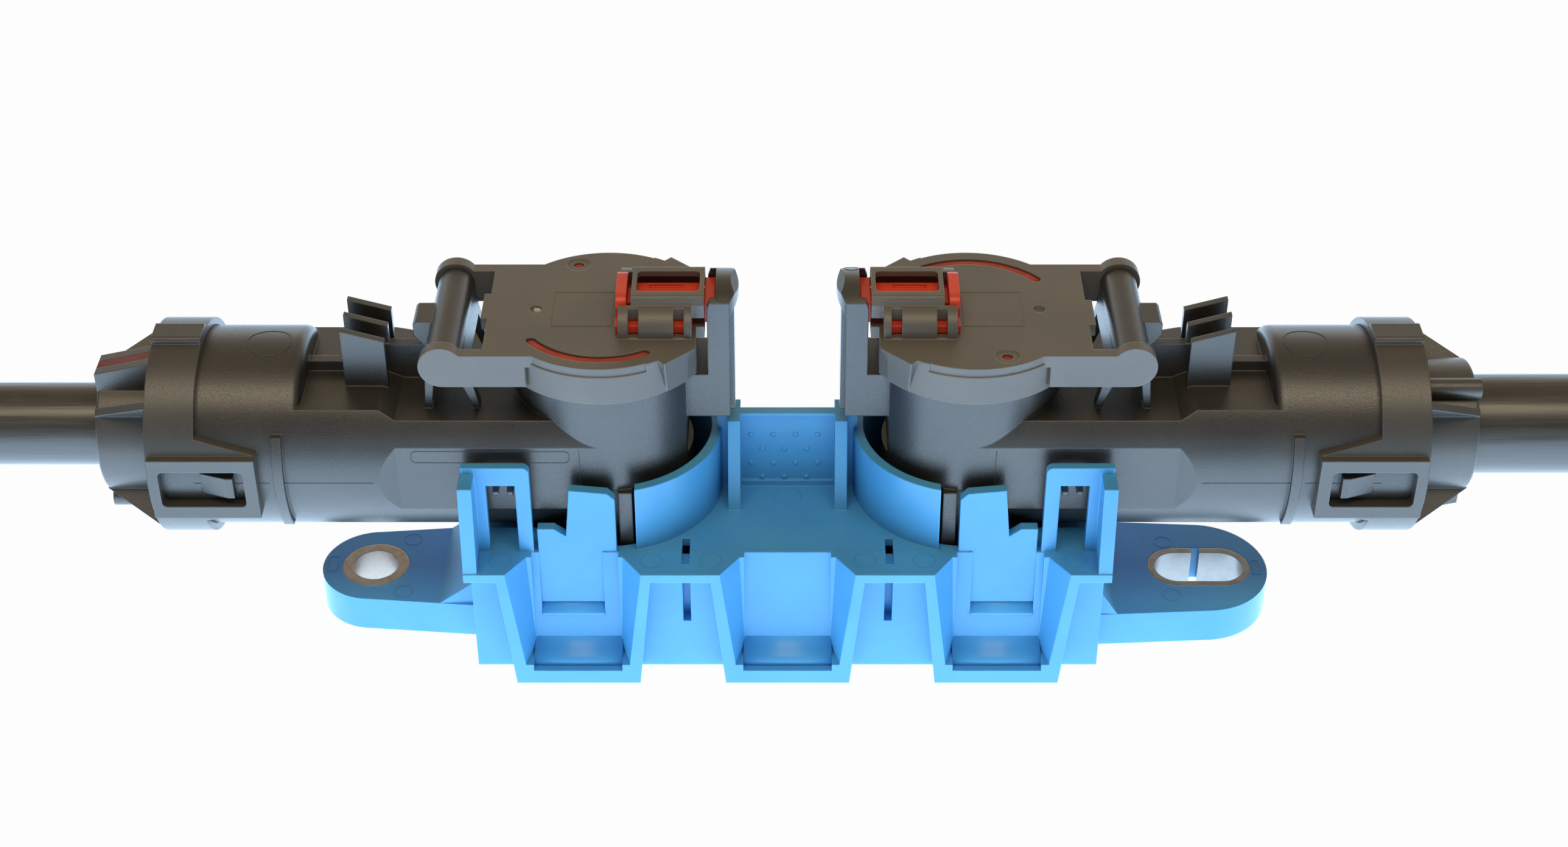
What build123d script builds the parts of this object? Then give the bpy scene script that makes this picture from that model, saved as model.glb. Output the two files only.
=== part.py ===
from build123d import *
from math import cos, radians, sin
import os

os.makedirs("parts", exist_ok=True)

# Two right-angle power cable connectors stand in one carrier, back to back.
# The shared frame has its origin under the middle of the carrier, +X along the cables, +Z up.
# A connector is drawn once, round its own turret axis, with its cable leaving along +X.
# Heights are the same in both frames. All lengths are in millimetres, all angles in degrees.

# Layout
turret_x = 27.6  # turret axis from the middle of the carrier
axis_z = 33.2  # cable axis above the carrier's foot
cut_reach = 60.0  # size of the blocks that cut away whole regions

# Clearances
seat_gap = 0.05  # round piece held in its seat
hinge_gap = 0.05  # lid stub in the hinge barrel, on the radius
slide_gap = 0.15  # locking slide in its tunnel
lid_gap = 0.3  # lid seal over the turret rim
cheek_gap = 0.2  # lid arm beside the hinge barrel
socket_gap = 1.7  # turret in the carrier's socket
trough_gap = 0.9  # tube in the carrier's trough

# Cable tube of the housing
tube_r = 15.3
tube_end = 66.8
flat_y = 14.2  # half width over the flats beside the turret
flat_end = 31.0
flat_taper = 3.0
deck_z = 42.5  # deck beside the turret
deck_end = 31.0
rear_deck_z = 43.7  # deck under the cable guide blades
rear_deck_start = 33.5
shoulder_x = 45.3  # where the full round tube begins
shoulder_fillet = 1.6
core_bore_r = 6.6
core_bore_end = 26.0
ferrule_bore_r = 8.8
ferrule_bore_end = 49.5
seal_bore_r = 12.2
ring_rib_x = 47.9
ring_rib_w = 1.5
ring_rib_h = 0.9
ring_rib_top = 40.8
ring_rib_low = 23.6

# Turret of the housing
turret_r = 14.2
turret_flat = 12.2
turret_rim_z = 31.0  # lower edge of the wide part
turret_top = 50.3
spigot_r = 13.0
spigot_z = 3.0
mating_bore_r = 11.0
floor_bottom = 24.0
floor_top = 26.4
cavity_r = 11.4
guide_rib_x = -3.05
guide_rib_w = 2.1
guide_rib_r = 15.0
guide_rib_foot = 8.0
groove_z = 10.0
groove_h = 4.0
groove_depth = 0.9
interface_lip = 0.9  # how far the seal stands out of its groove

# Deck furniture
deck_rib_w = 1.6
low_rib_top = 45.5
high_rib_top = 48.6
high_rib_start = 25.6
blade_x = 32.7
blade_len = 6.5
blade_pitch = 4.3
blade_t = 1.1
blade_count = 3
blade_low_top = 51.7
blade_high_top = 53.6

# Hinge
hinge_x = 23.3
hinge_z = 52.3
barrel_r = 2.75
arm_in = 10.6  # inner face of the lid arms
arm_t = 1.9
ear_r = 3.4
stub_r = 1.6
stub_len = 2.0
stop_x = 28.5
stop_w = 5.3
stop_z = 50.2
stop_h = 3.6
stop_bevel = 0.4
stop_foot = 1.2
stop_root = 2.0
strut_t = 2.0
strut_foot_in = 18.3
strut_foot_out = 26.9
strut_face = 8.9  # half width over both struts
strut_lean = 0.8
strut_rail = 1.1
strut_web = 1.0

# Latch post
post_in = 15.6  # face towards the lid
post_t = 3.3
post_w = 10.0
post_foot = 38.2
post_block_top = 45.9
post_top = 60.0
post_crown = 1.4  # how much lower the top is at its front and rear edges
hook_in = 16.3
hook_out = 20.3
hook_h = 2.4
hook_under = 1.4  # slope under the hook
hook_bevel = 1.2
hook_nose = 2.4  # slope that the lid's tower slides down
post_recess = 1.3
post_recess_w = 8.0
post_plate_t = 0.7
post_plate_w = 6.0

# Side snap of the housing for the end cap
snap_steep_x = 55.4
snap_ramp_x = 60.5
snap_w = 3.6
snap_y = 16.7

# Teeth of the housing in the carrier's gate windows
tooth_places = [14.1, 16.3]
tooth_w = 0.9
tooth_y = 16.3
tooth_low = 31.6
tooth_ledge = 0.7
tooth_high = 34.0

# Lid
lid_r = 16.1
lid_step = 0.2
lid_step_z = 1.4
lid_top = 54.4
lid_plate_t = 2.0
skirt_bottom = 48.3
skirt_in_r = 14.8
lid_flat = 14.0
corner_taper = 11.0
corner_points = [(-8.6, 13.6), (-9.6, 14.6), (-12.3, 12.1), (-14.0, 10.5)]
bridge_start = 11.0
bridge_end = 17.3
arm_bottom = 48.9
tab_len = 1.0
tab_low = -4.2
tab_high = 2.5
seal_arc_r = 13.3
seal_arc_w = 1.5
seal_arc_start = 39.0
seal_arc_span = 81.0
seal_dot_r = 0.8
seal_dot_angle = 290.0
dot_ring_r = 1.8
dot_ring_depth = 0.15
gate_x = 10.2
gate_r = 0.9
gate_depth = 0.3

# Latch tower on the lid
tower_in = 4.4
tower_len = 10.8
tower_w = 16.2
tower_neck_w = 9.6
tower_neck_z = 58.1
tower_top_w = 8.3
tower_top = 59.4
tower_roof_t = 1.0
tower_window_len = 9.4
tower_window_w = 5.6
tower_window_round = 0.8
tower_slot_w = 1.55
tower_slot_in = 5.3
tower_slots = [4.8, 11.5]
tower_top_round = 0.6
barrel_in = 2.5  # the rounded shoulders on both sides of the tower
barrel_out = 13.4
barrel_round = 3.35
barrel_wall_y = 4.6

# Locking slide
slide_w = 13.4
slide_t = 1.25
slide_head_in = 2.05
slide_head_t = 1.6
slide_head_w = 8.8
slide_head_top = 59.0
slide_head_round = 1.8
slide_rib_w = 4.2
slide_rib_top = 56.9
slide_end_w = 7.4
slide_end_top = 57.7

# Lid seal
lid_seal_in = 12.3
lid_seal_out = 14.3
lid_seal_recess = 0.5

# End cap
cap_start = 60.8
cap_face = 68.2
cap_end = 77.1
cap_r = 16.5
cap_nose_r = 10.2
frame_start = 51.8
frame_end = 67.8
frame_rise = 5.3  # the frame reaches this far above and below the cable's axis
frame_y = 17.0
frame_web_rise = 7.6
window_start = 53.7
window_end = 66.4
window_rise = 3.2
window_round = 0.8
gusset_t = 1.2
gusset_angles = [45, 135, 225, 315]
gusset_r = 16.3
boss_y = 1.7
boss_w = 5.2
boss_low_z = 45.4
boss_high_z = 47.4
insert_w = 1.8
insert_t = 0.8
pin_r = 1.55
pin_angle = 26.0  # from straight down
pin_axis_r = 11.3
ridge_w = 4.6
ridge_h = 0.9
ridge_round = 0.6
ridge_notch_w = 1.3
ridge_notch_r = 15.9
nose_round = 0.5

# Ring terminal and what it is screwed to
ring_r = 7.6
ring_hole_r = 3.2
tongue_t = 2.4
barrel_out_r = 5.0
barrel_start = 9.6
barrel_len = 11.0
tongue_rise = 0.4  # underside of the ring above the underside of the barrel
neck_w = 8.4
hex_start = 12.9
hex_len = 5.0
hex_flats = 9.0
peep_r = 0.9
washer_r = 6.4
washer_t = 1.2
screw_r = 3.0
screw_len = 13.0
screw_flange_r = 6.0
screw_flange_t = 1.0
screw_head_flats = 10.0
screw_head_h = 4.2
screw_socket_flats = 5.0
screw_socket_depth = 2.4
contact_r = 4.6
contact_flange_r = 8.4
contact_foot = 6.5
contact_bore_r = 3.2
contact_bore_h = 8.0
contact_slit = 0.6
contact_slits = 6

# Cables: outside, core and conductor radius on each side
cable_r = {"left": 6.4, "right": 7.7}
core_r = {"left": 4.7, "right": 5.4}
conductor_r = {"left": 3.3, "right": 3.9}
free_length = 100.0
jacket_start = 44.0
core_start = 21.2
conductor_start = 10.6
seal_start = 57.0
seal_len = 9.0
seal_lips = 2
seal_lip_w = 1.6
seal_lip_h = 0.8
ferrule_start = 33.0
ferrule_len = 10.6
ferrule_r = 8.3
ferrule_collar_w = 2.0
ferrule_barrel_r = 6.9

# Carrier
body_x = 48.4
body_y = 18.6
wall = 1.5
carrier_deck = 21.6
socket_top = 33.0
socket_open_x = 23.0  # socket wall reaches from the middle to here
finger_in = 26.0
finger_out = 32.8
finger_top = 33.2
finger_slope = 0.6  # how much lower its top is at the inner end
finger_bevel = 1.1
finger_flare = 0.8
finger_neck_z = 24.5  # where the finger leaves its base
finger_base_in = 35.4
finger_base_out = 37.9
finger_base_top = 25.9
finger_y = 17.2
finger_t = 1.6
recess_in = 28.2
recess_out = 37.9
recess_floor = 10.0
gate_post_in = 38.6
gate_post_out = 48.7
gate_post_top = 37.5
gate_t = 1.3
gate_post_y = 17.3
gate_round = 1.0
gate_window_in = 40.8
gate_window_out = 45.2
gate_window_high = 34.2
flange_in = 46.8
flange_out = 48.9
flange_low = 20.1
flange_top = 36.3
flange_nose_y = 21.0
lip_y = 22.9
scoop_floor = 2.5
scoop_centres = [-32.4, 0.0, 32.4]
scoop_top_w = 23.6
scoop_bottom_w = 19.1
scoop_step = 1.2
scoop_draft = 1.2  # how far the scoop's back wall leans in at the deck
scoop_back_top_w = 14.6  # the side walls close in towards the back
scoop_back_bottom_w = 13.2
slit_x = 15.5
slit_w = 1.2
slit_low = 9.0
slit_high = 18.6
slit_deck_in = 14.0  # the slit in the deck runs from here into the lip
slit_deck_out = 20.5
web_x = 10.9
web_top = 35.7
web_t = 1.6
web_panel_w = 14.4
web_panel_low = 22.7
web_panel_high = 35.0
web_panel_depth = 0.4
pilaster_in = 7.3
pilaster_out = 9.2
pilaster_foot_y = 7.5
pilaster_lean = 4.6

# Mounting ears and their steel sleeves
ear_plate_t = 6.1
round_ear_x = -66.2
round_ear_y = -1.4  # the ears stand a little in front of the cables
round_ear_r = 8.5
round_root_y = 10.3
round_gusset_x = 54.9
slot_ear_x = 66.1
slot_ear_y = -1.9
slot_ear_r = 10.9
slot_root_y = 12.0
slot_gusset_x = 51.8
slot_travel = 6.9  # how much longer than round the slotted hole is
ear_gusset_z = 10.6
sleeve_bore_r = 3.6
round_sleeve_r = 5.3
slot_sleeve_r = 4.75
sleeve_split = 1.3

# Worked out from the values above
hinge_len = 2 * (arm_in - cheek_gap)
lid_plate_bottom = lid_top - lid_plate_t
arm_out = arm_in + arm_t
tongue_z = axis_z - barrel_out_r + tongue_rise
contact_top = tongue_z
washer_z = tongue_z + tongue_t
socket_r = turret_r + socket_gap
trough_r = tube_r + trough_gap
tower_out = tower_in + tower_len
roof_z = tower_top - tower_roof_t

# Housing
with BuildPart() as housing:
    # Cable tube, round all along
    with BuildSketch(Plane.YZ):
        with Locations((0, axis_z)):
            Circle(tube_r)
    extrude(amount=tube_end)
    # Decks
    with BuildSketch(Plane.XZ):
        with BuildLine():
            Polyline(
                (-1, deck_z),
                (deck_end, deck_z),
                (rear_deck_start, rear_deck_z),
                (shoulder_x, rear_deck_z),
                (shoulder_x, cut_reach),
                (-1, cut_reach),
                close=True,
            )
        make_face()
    extrude(amount=cut_reach, both=True, mode=Mode.SUBTRACT)
    shoulder = housing.edges().filter_by(GeomType.CIRCLE).filter_by_position(
        Axis.X, shoulder_x - 0.01, shoulder_x + 0.01
    )
    fillet(shoulder, radius=shoulder_fillet)
    # Side flats with a slanted end
    with BuildSketch(Plane.XY) as flat_cut:
        with BuildLine():
            Polyline(
                (-1, flat_y),
                (flat_end, flat_y),
                (flat_end + flat_taper, tube_r + 0.1),
                (flat_end + flat_taper, cut_reach),
                (-1, cut_reach),
                close=True,
            )
        make_face()
        mirror(about=Plane.XZ)
    extrude(amount=2 * cut_reach, mode=Mode.SUBTRACT)
    # Turret, its spigot and the flat on its inner side
    with BuildSketch(Plane.XY.offset(turret_rim_z)):
        Circle(turret_r)
    extrude(amount=turret_top - turret_rim_z)
    with BuildSketch(Plane.XY.offset(spigot_z)):
        Circle(spigot_r)
    extrude(amount=turret_rim_z - spigot_z)
    with BuildSketch(Plane.XY.offset(turret_rim_z)):
        with Locations((-turret_flat - cut_reach / 2, 0)):
            Rectangle(cut_reach, cut_reach)
    extrude(amount=cut_reach, mode=Mode.SUBTRACT)
    # Guide ribs under the rim
    with BuildSketch(Plane.XY.offset(guide_rib_foot)):
        with Locations((guide_rib_x, 0)):
            Rectangle(guide_rib_w, 2 * guide_rib_r)
    extrude(amount=turret_rim_z - guide_rib_foot)
    # Raised rib round the lower part of the tube
    with BuildSketch(Plane.YZ.offset(ring_rib_x)):
        with Locations((0, axis_z)):
            Circle(tube_r + ring_rib_h)
        with Locations((0, ring_rib_top + cut_reach / 2), (0, ring_rib_low - cut_reach / 2)):
            Rectangle(cut_reach, cut_reach, mode=Mode.SUBTRACT)
    extrude(amount=ring_rib_w)
    # Ribs along the middle of the decks
    with BuildSketch(Plane.XZ):
        with BuildLine():
            Polyline(
                (high_rib_start, axis_z + ferrule_bore_r),
                (high_rib_start, high_rib_top),
                (rear_deck_start, high_rib_top),
                (blade_x + blade_len, low_rib_top),
                (shoulder_x + shoulder_fillet, low_rib_top),
                (shoulder_x + shoulder_fillet, axis_z + ferrule_bore_r),
                close=True,
            )
        make_face()
    extrude(amount=deck_rib_w / 2, both=True)
    # Blades
    for blade in range(blade_count):
        blade_y = (blade - (blade_count - 1) / 2) * blade_pitch
        with BuildSketch(Plane.XZ.offset(-blade_y)):
            with BuildLine():
                Polyline(
                    (blade_x, deck_z - 1),
                    (blade_x, blade_low_top),
                    (blade_x + blade_len, blade_high_top),
                    (blade_x + blade_len, deck_z - 1),
                    close=True,
                )
            make_face()
        extrude(amount=blade_t / 2, both=True)
    # Hinge barrel, its stop and its struts
    with BuildSketch(Plane.XZ):
        with Locations((hinge_x, hinge_z)):
            Circle(barrel_r)
    extrude(amount=hinge_len / 2, both=True)
    with BuildSketch(Plane.XZ):
        with BuildLine():
            Polyline(
                (hinge_x, stop_z),
                (hinge_x, stop_z + stop_h),
                (stop_x - stop_bevel, stop_z + stop_h),
                (stop_x, stop_z + stop_h - stop_bevel),
                (stop_x, stop_z + stop_foot),
                (hinge_x + barrel_r, stop_z - stop_root),
                close=True,
            )
        make_face()
    extrude(amount=stop_w / 2, both=True)
    with BuildSketch(Plane.XZ):
        with BuildLine():
            Polyline(
                (strut_foot_out, deck_z - 1),
                (strut_foot_out - strut_lean, hinge_z),
                (hinge_x, hinge_z),
                (hinge_x - barrel_r, hinge_z),
                (strut_foot_in, deck_z - 1),
                close=True,
            )
        make_face()
        with BuildLine():
            Polyline(
                (strut_foot_out - strut_rail, deck_z),
                (strut_foot_out - strut_lean - strut_rail, hinge_z - barrel_r - strut_web),
                (hinge_x - barrel_r + strut_rail, hinge_z - barrel_r - strut_web),
                (strut_foot_in + strut_rail, deck_z),
                close=True,
            )
        make_face(mode=Mode.SUBTRACT)
    extrude(amount=strut_face, both=True)
    with BuildSketch(Plane.XY.offset(deck_z)):
        with Locations(((strut_foot_in + strut_foot_out) / 2, 0)):
            Rectangle(strut_foot_out - strut_foot_in + 2 * strut_lean, 2 * (strut_face - strut_t))
    extrude(amount=hinge_z - barrel_r - strut_web / 2 - deck_z, mode=Mode.SUBTRACT)
    # Middle rib again, where the space under the barrel was opened
    with BuildSketch(Plane.XY.offset(deck_z - 1)):
        with Locations(((high_rib_start + rear_deck_start) / 2, 0)):
            Rectangle(rear_deck_start - high_rib_start, deck_rib_w)
    extrude(amount=high_rib_top - deck_z + 1)
    # Latch post
    with BuildSketch(Plane.XZ):
        with BuildLine():
            Polyline(
                (-cavity_r - 0.4, post_foot),
                (-post_in - post_t, post_foot),
                (-post_in - post_t, post_top - hook_h - hook_under),
                (-hook_out, post_top - hook_h),
                (-hook_out, post_top - hook_bevel),
                (-hook_out + hook_bevel, post_top),
                (-hook_in, post_top),
                (-post_in, post_top - hook_nose),
                (-post_in, post_block_top),
                (-cavity_r - 0.4, post_block_top),
                close=True,
            )
        make_face()
    extrude(amount=post_w / 2, both=True)
    # Its crowned top, and the hook's crowned outer face
    with BuildSketch(Plane.YZ.offset(-hook_out)):
        with BuildLine():
            ThreePointArc(
                (-post_w / 2, post_top - post_crown), (0, post_top), (post_w / 2, post_top - post_crown)
            )
            Polyline(
                (post_w / 2, post_top - post_crown),
                (post_w / 2, cut_reach + post_w),
                (-post_w / 2, cut_reach + post_w),
                (-post_w / 2, post_top - post_crown),
            )
        make_face()
    extrude(amount=hook_out - post_in, mode=Mode.SUBTRACT)
    with BuildSketch(Plane.XY.offset(post_top - hook_h - hook_under)):
        with BuildLine():
            ThreePointArc(
                (-post_in - post_t, -post_w / 2), (-hook_out, 0), (-post_in - post_t, post_w / 2)
            )
            Polyline(
                (-post_in - post_t, post_w / 2),
                (-hook_out - 1, post_w / 2),
                (-hook_out - 1, -post_w / 2),
                (-post_in - post_t, -post_w / 2),
            )
        make_face()
    extrude(amount=hook_h + hook_under, mode=Mode.SUBTRACT)
    with BuildSketch(Plane.XY.offset(lid_plate_bottom)):
        with Locations((-post_in - post_recess / 2, 0)):
            Rectangle(post_recess, post_recess_w)
    extrude(amount=cut_reach, mode=Mode.SUBTRACT)
    with BuildSketch(Plane.XY.offset(post_foot)):
        with Locations((-post_in - post_t - post_plate_t / 2, 0)):
            Rectangle(post_plate_t, post_plate_w)
    extrude(amount=post_top - hook_h - post_foot)
    # Side snaps
    with BuildSketch(Plane.XY.offset(axis_z - snap_w / 2)):
        with BuildLine():
            Polyline(
                (snap_steep_x, tube_r - 1),
                (snap_steep_x, snap_y),
                (snap_steep_x + 1, snap_y),
                (snap_ramp_x, tube_r),
                (snap_ramp_x, tube_r - 1),
                close=True,
            )
        make_face()
        mirror(about=Plane.XZ)
    extrude(amount=snap_w)
    # Teeth that hold the housing down in the carrier's gates
    for tooth_x in tooth_places:
        with BuildSketch(Plane.YZ.offset(tooth_x)):
            with BuildLine():
                Polyline(
                    (flat_y - 1, tooth_low),
                    (tooth_y, tooth_low),
                    (tooth_y, tooth_low + tooth_ledge),
                    (flat_y, tooth_high),
                    (flat_y - 1, tooth_high),
                    close=True,
                )
            make_face()
            mirror(about=Plane.YZ)
        extrude(amount=tooth_w / 2, both=True)
    # Inside: terminal cavity, mating bore, cable bores
    with BuildSketch(Plane.XY.offset(floor_top)):
        Circle(cavity_r)
    extrude(amount=turret_top - floor_top, mode=Mode.SUBTRACT)
    with BuildSketch(Plane.XY.offset(spigot_z)):
        Circle(mating_bore_r)
    extrude(amount=floor_bottom - spigot_z, mode=Mode.SUBTRACT)
    with BuildSketch(Plane.XY.offset(floor_bottom)):
        Circle(contact_r + seat_gap)
    extrude(amount=floor_top - floor_bottom, mode=Mode.SUBTRACT)
    with BuildSketch(Plane.XZ):
        with BuildLine():
            Polyline(
                (0, axis_z),
                (0, axis_z + core_bore_r),
                (core_bore_end, axis_z + core_bore_r),
                (core_bore_end, axis_z + ferrule_bore_r),
                (ferrule_bore_end, axis_z + ferrule_bore_r),
                (ferrule_bore_end, axis_z + seal_bore_r),
                (tube_end, axis_z + seal_bore_r),
                (tube_end, axis_z),
                close=True,
            )
        make_face()
    revolve(axis=Axis((0, 0, axis_z), (1, 0, 0)), mode=Mode.SUBTRACT)
    with BuildSketch(Plane.XZ):
        with Locations((hinge_x, hinge_z)):
            Circle(stub_r + hinge_gap)
    extrude(amount=hinge_len / 2, both=True, mode=Mode.SUBTRACT)
    # Groove for the interface seal
    with BuildSketch(Plane.XY.offset(groove_z)):
        Circle(guide_rib_r + 1)
        Circle(spigot_r - groove_depth, mode=Mode.SUBTRACT)
    extrude(amount=groove_h, mode=Mode.SUBTRACT)

# Lid
with BuildPart() as lid:
    with BuildSketch(Plane.XY.offset(skirt_bottom)):
        Circle(lid_r)
        with Locations((-lid_flat - cut_reach / 2, 0)):
            Rectangle(cut_reach, cut_reach, mode=Mode.SUBTRACT)
    extrude(amount=lid_top - skirt_bottom)
    with BuildSketch(Plane.XY.offset(lid_top)):
        with BuildLine():
            Polyline(*corner_points, *[(x, -y) for x, y in reversed(corner_points)], close=True)
        make_face()
    extrude(amount=-(lid_top - skirt_bottom), taper=corner_taper)
    with BuildSketch(Plane.XY.offset(lid_top - lid_step_z)):
        with Locations((cut_reach / 2 - lid_flat / 2, 0)):
            Rectangle(cut_reach, cut_reach)
        Circle(lid_r - lid_step, mode=Mode.SUBTRACT)
    extrude(amount=lid_step_z, mode=Mode.SUBTRACT)
    with BuildSketch(Plane.XY.offset(skirt_bottom)):
        Circle(skirt_in_r)
    extrude(amount=lid_plate_bottom - skirt_bottom, mode=Mode.SUBTRACT)
    # Bridge to the hinge and its two arms
    with BuildSketch(Plane.XY.offset(lid_plate_bottom)):
        with Locations((bridge_end / 2, 0)):
            Rectangle(bridge_end, 2 * arm_out)
        with Locations((bridge_end + tab_len / 2, (tab_low + tab_high) / 2)):
            Rectangle(tab_len, tab_high - tab_low)
    extrude(amount=lid_plate_t)
    for side_y in (-1, 1):
        with BuildSketch(Plane.XZ.offset(-side_y * (arm_in + arm_t / 2))):
            with Locations(((bridge_start + hinge_x) / 2, (arm_bottom + lid_top) / 2)):
                Rectangle(hinge_x - bridge_start, lid_top - arm_bottom)
            with Locations((hinge_x, hinge_z)):
                Circle(ear_r)
        extrude(amount=arm_t / 2, both=True)
        with BuildSketch(Plane.XZ.offset(-side_y * (arm_in - stub_len / 2))):
            with Locations((hinge_x, hinge_z)):
                Circle(stub_r)
        extrude(amount=stub_len / 2 + 0.01, both=True)
    # Latch tower
    with BuildSketch(Plane.YZ.offset(-tower_out)) as tower_outline:
        with BuildLine():
            Polyline(
                (-tower_neck_w / 2, lid_plate_bottom),
                (-tower_neck_w / 2, tower_neck_z),
                (-tower_top_w / 2, tower_top),
                (tower_top_w / 2, tower_top),
                (tower_neck_w / 2, tower_neck_z),
                (tower_neck_w / 2, lid_plate_bottom),
                close=True,
            )
        make_face()
        fillet(tower_outline.vertices().group_by(Axis.Y)[-1], radius=tower_top_round)
    extrude(amount=tower_len)
    with BuildSketch(Plane.YZ.offset(-barrel_out)) as barrel_outline:
        with Locations((0, (lid_plate_bottom + tower_neck_z) / 2)):
            Rectangle(tower_w, tower_neck_z - lid_plate_bottom)
        fillet(barrel_outline.vertices().group_by(Axis.Y)[-1], radius=barrel_round)
        with Locations((0, (lid_plate_bottom + tower_neck_z) / 2)):
            Rectangle(2 * barrel_wall_y, tower_neck_z - lid_plate_bottom, mode=Mode.SUBTRACT)
    extrude(amount=barrel_out - barrel_in)
    with BuildSketch(Plane.YZ.offset(-tower_out)):
        with Locations((0, lid_top + slide_t / 2 + slide_gap)):
            Rectangle(slide_w + 2 * slide_gap, slide_t + 2 * slide_gap)
        with Locations((0, (lid_top + roof_z) / 2)):
            Rectangle(slide_end_w + 2 * slide_gap, roof_z - lid_top)
    extrude(amount=tower_out - barrel_in, mode=Mode.SUBTRACT)
    with BuildSketch(Plane.XY.offset(roof_z)):
        with Locations((-tower_in - tower_len / 2, 0)):
            RectangleRounded(tower_window_len, tower_window_w, tower_window_round)
    extrude(amount=tower_roof_t, mode=Mode.SUBTRACT)
    for slot_x in tower_slots:
        with BuildSketch(Plane.XY.offset(lid_top + slide_gap)):
            for side_y in (-1, 1):
                with Locations((-slot_x, side_y * (tower_slot_in + tower_w / 4))):
                    Rectangle(tower_slot_w, tower_w / 2)
        extrude(amount=tower_top - lid_top, mode=Mode.SUBTRACT)
    # Seal windows and the gate mark
    with BuildSketch(Plane.XY.offset(lid_plate_bottom)):
        SlotArc(CenterArc((0, 0), seal_arc_r, seal_arc_start, seal_arc_span), seal_arc_w)
        with PolarLocations(seal_arc_r, 1, start_angle=seal_dot_angle):
            Circle(seal_dot_r)
    extrude(amount=lid_plate_t, mode=Mode.SUBTRACT)
    with BuildSketch(Plane.XY.offset(lid_top - dot_ring_depth)):
        with PolarLocations(seal_arc_r, 1, start_angle=seal_dot_angle):
            Circle(dot_ring_r)
    extrude(amount=dot_ring_depth, mode=Mode.SUBTRACT)
    with BuildSketch(Plane.XY.offset(lid_top - gate_depth)):
        with Locations((gate_x, 0)):
            Circle(gate_r)
    extrude(amount=gate_depth, mode=Mode.SUBTRACT)

# Seal moulded under the lid, seen through the windows
with BuildPart() as lid_seal:
    with BuildSketch(Plane.XY.offset(turret_top + lid_gap)):
        Circle(lid_seal_out)
        Circle(lid_seal_in, mode=Mode.SUBTRACT)
    extrude(amount=lid_plate_bottom - turret_top - lid_gap)
    with BuildSketch(Plane.XY.offset(lid_plate_bottom)):
        SlotArc(
            CenterArc((0, 0), seal_arc_r, seal_arc_start, seal_arc_span),
            seal_arc_w - 2 * seat_gap,
        )
        with PolarLocations(seal_arc_r, 1, start_angle=seal_dot_angle):
            Circle(seal_dot_r - seat_gap)
    extrude(amount=lid_plate_t - lid_seal_recess)

# Locking slide
with BuildPart() as locking_slide:
    slide_bottom = lid_top + slide_gap
    with BuildSketch(Plane.XY.offset(slide_bottom)):
        with Locations((-(slide_head_in + barrel_out) / 2, 0)):
            Rectangle(barrel_out - slide_head_in, slide_w)
    extrude(amount=slide_t)
    with BuildSketch(Plane.YZ.offset(-slide_head_in - slide_head_t)) as head_outline:
        with Locations((0, (slide_bottom + slide_head_top) / 2)):
            Rectangle(slide_head_w, slide_head_top - slide_bottom)
        fillet(head_outline.vertices().group_by(Axis.Y)[-1], radius=slide_head_round)
    extrude(amount=slide_head_t)
    with BuildSketch(Plane.XY.offset(slide_bottom)):
        with Locations((-(slide_head_in + tower_out) / 2, 0)):
            Rectangle(tower_out - slide_head_in, slide_rib_w)
    extrude(amount=slide_rib_top - slide_bottom)
    slide_end_x = post_in + post_recess - slide_gap
    with BuildSketch(Plane.XY.offset(slide_bottom)):
        with Locations((-(slide_end_x + tower_out) / 2, 0)):
            Rectangle(slide_end_x - tower_out, slide_end_w)
    extrude(amount=slide_end_top - slide_bottom)

# Ring seal in the spigot's groove
with BuildPart() as interface_seal:
    seal_r = spigot_r - groove_depth + seat_gap
    with BuildSketch(Plane.XZ):
        with BuildLine():
            Polyline(
                (seal_r, groove_z + seat_gap),
                (spigot_r + 0.2, groove_z + seat_gap),
                (spigot_r + interface_lip, groove_z + groove_h / 2),
                (spigot_r + 0.2, groove_z + groove_h - seat_gap),
                (seal_r, groove_z + groove_h - seat_gap),
                close=True,
            )
        make_face()
    revolve(axis=Axis.Z)

# Contact socket that the ring terminal is screwed down on
with BuildPart() as contact_socket:
    with BuildSketch(Plane.XY.offset(contact_foot)):
        Circle(contact_r)
    extrude(amount=contact_top - contact_foot)
    with BuildSketch(Plane.XY.offset(floor_top)):
        Circle(contact_flange_r)
    extrude(amount=contact_top - floor_top)
    with BuildSketch(Plane.XY.offset(contact_foot)):
        Circle(contact_bore_r)
    extrude(amount=contact_bore_h, mode=Mode.SUBTRACT)
    with BuildSketch(Plane.XY.offset(washer_z + washer_t - screw_len - 1)):
        Circle(screw_r + seat_gap)
    extrude(amount=cut_reach, mode=Mode.SUBTRACT)
    with BuildSketch(Plane.XY.offset(contact_foot)):
        with PolarLocations(0, contact_slits // 2, angular_range=180):
            Rectangle(4 * contact_r, contact_slit)
    extrude(amount=contact_bore_h - 1, mode=Mode.SUBTRACT)

# Washer and screw
with BuildPart() as washer:
    with BuildSketch(Plane.XY.offset(washer_z)):
        Circle(washer_r)
        Circle(screw_r + 0.2, mode=Mode.SUBTRACT)
    extrude(amount=washer_t)

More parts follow.
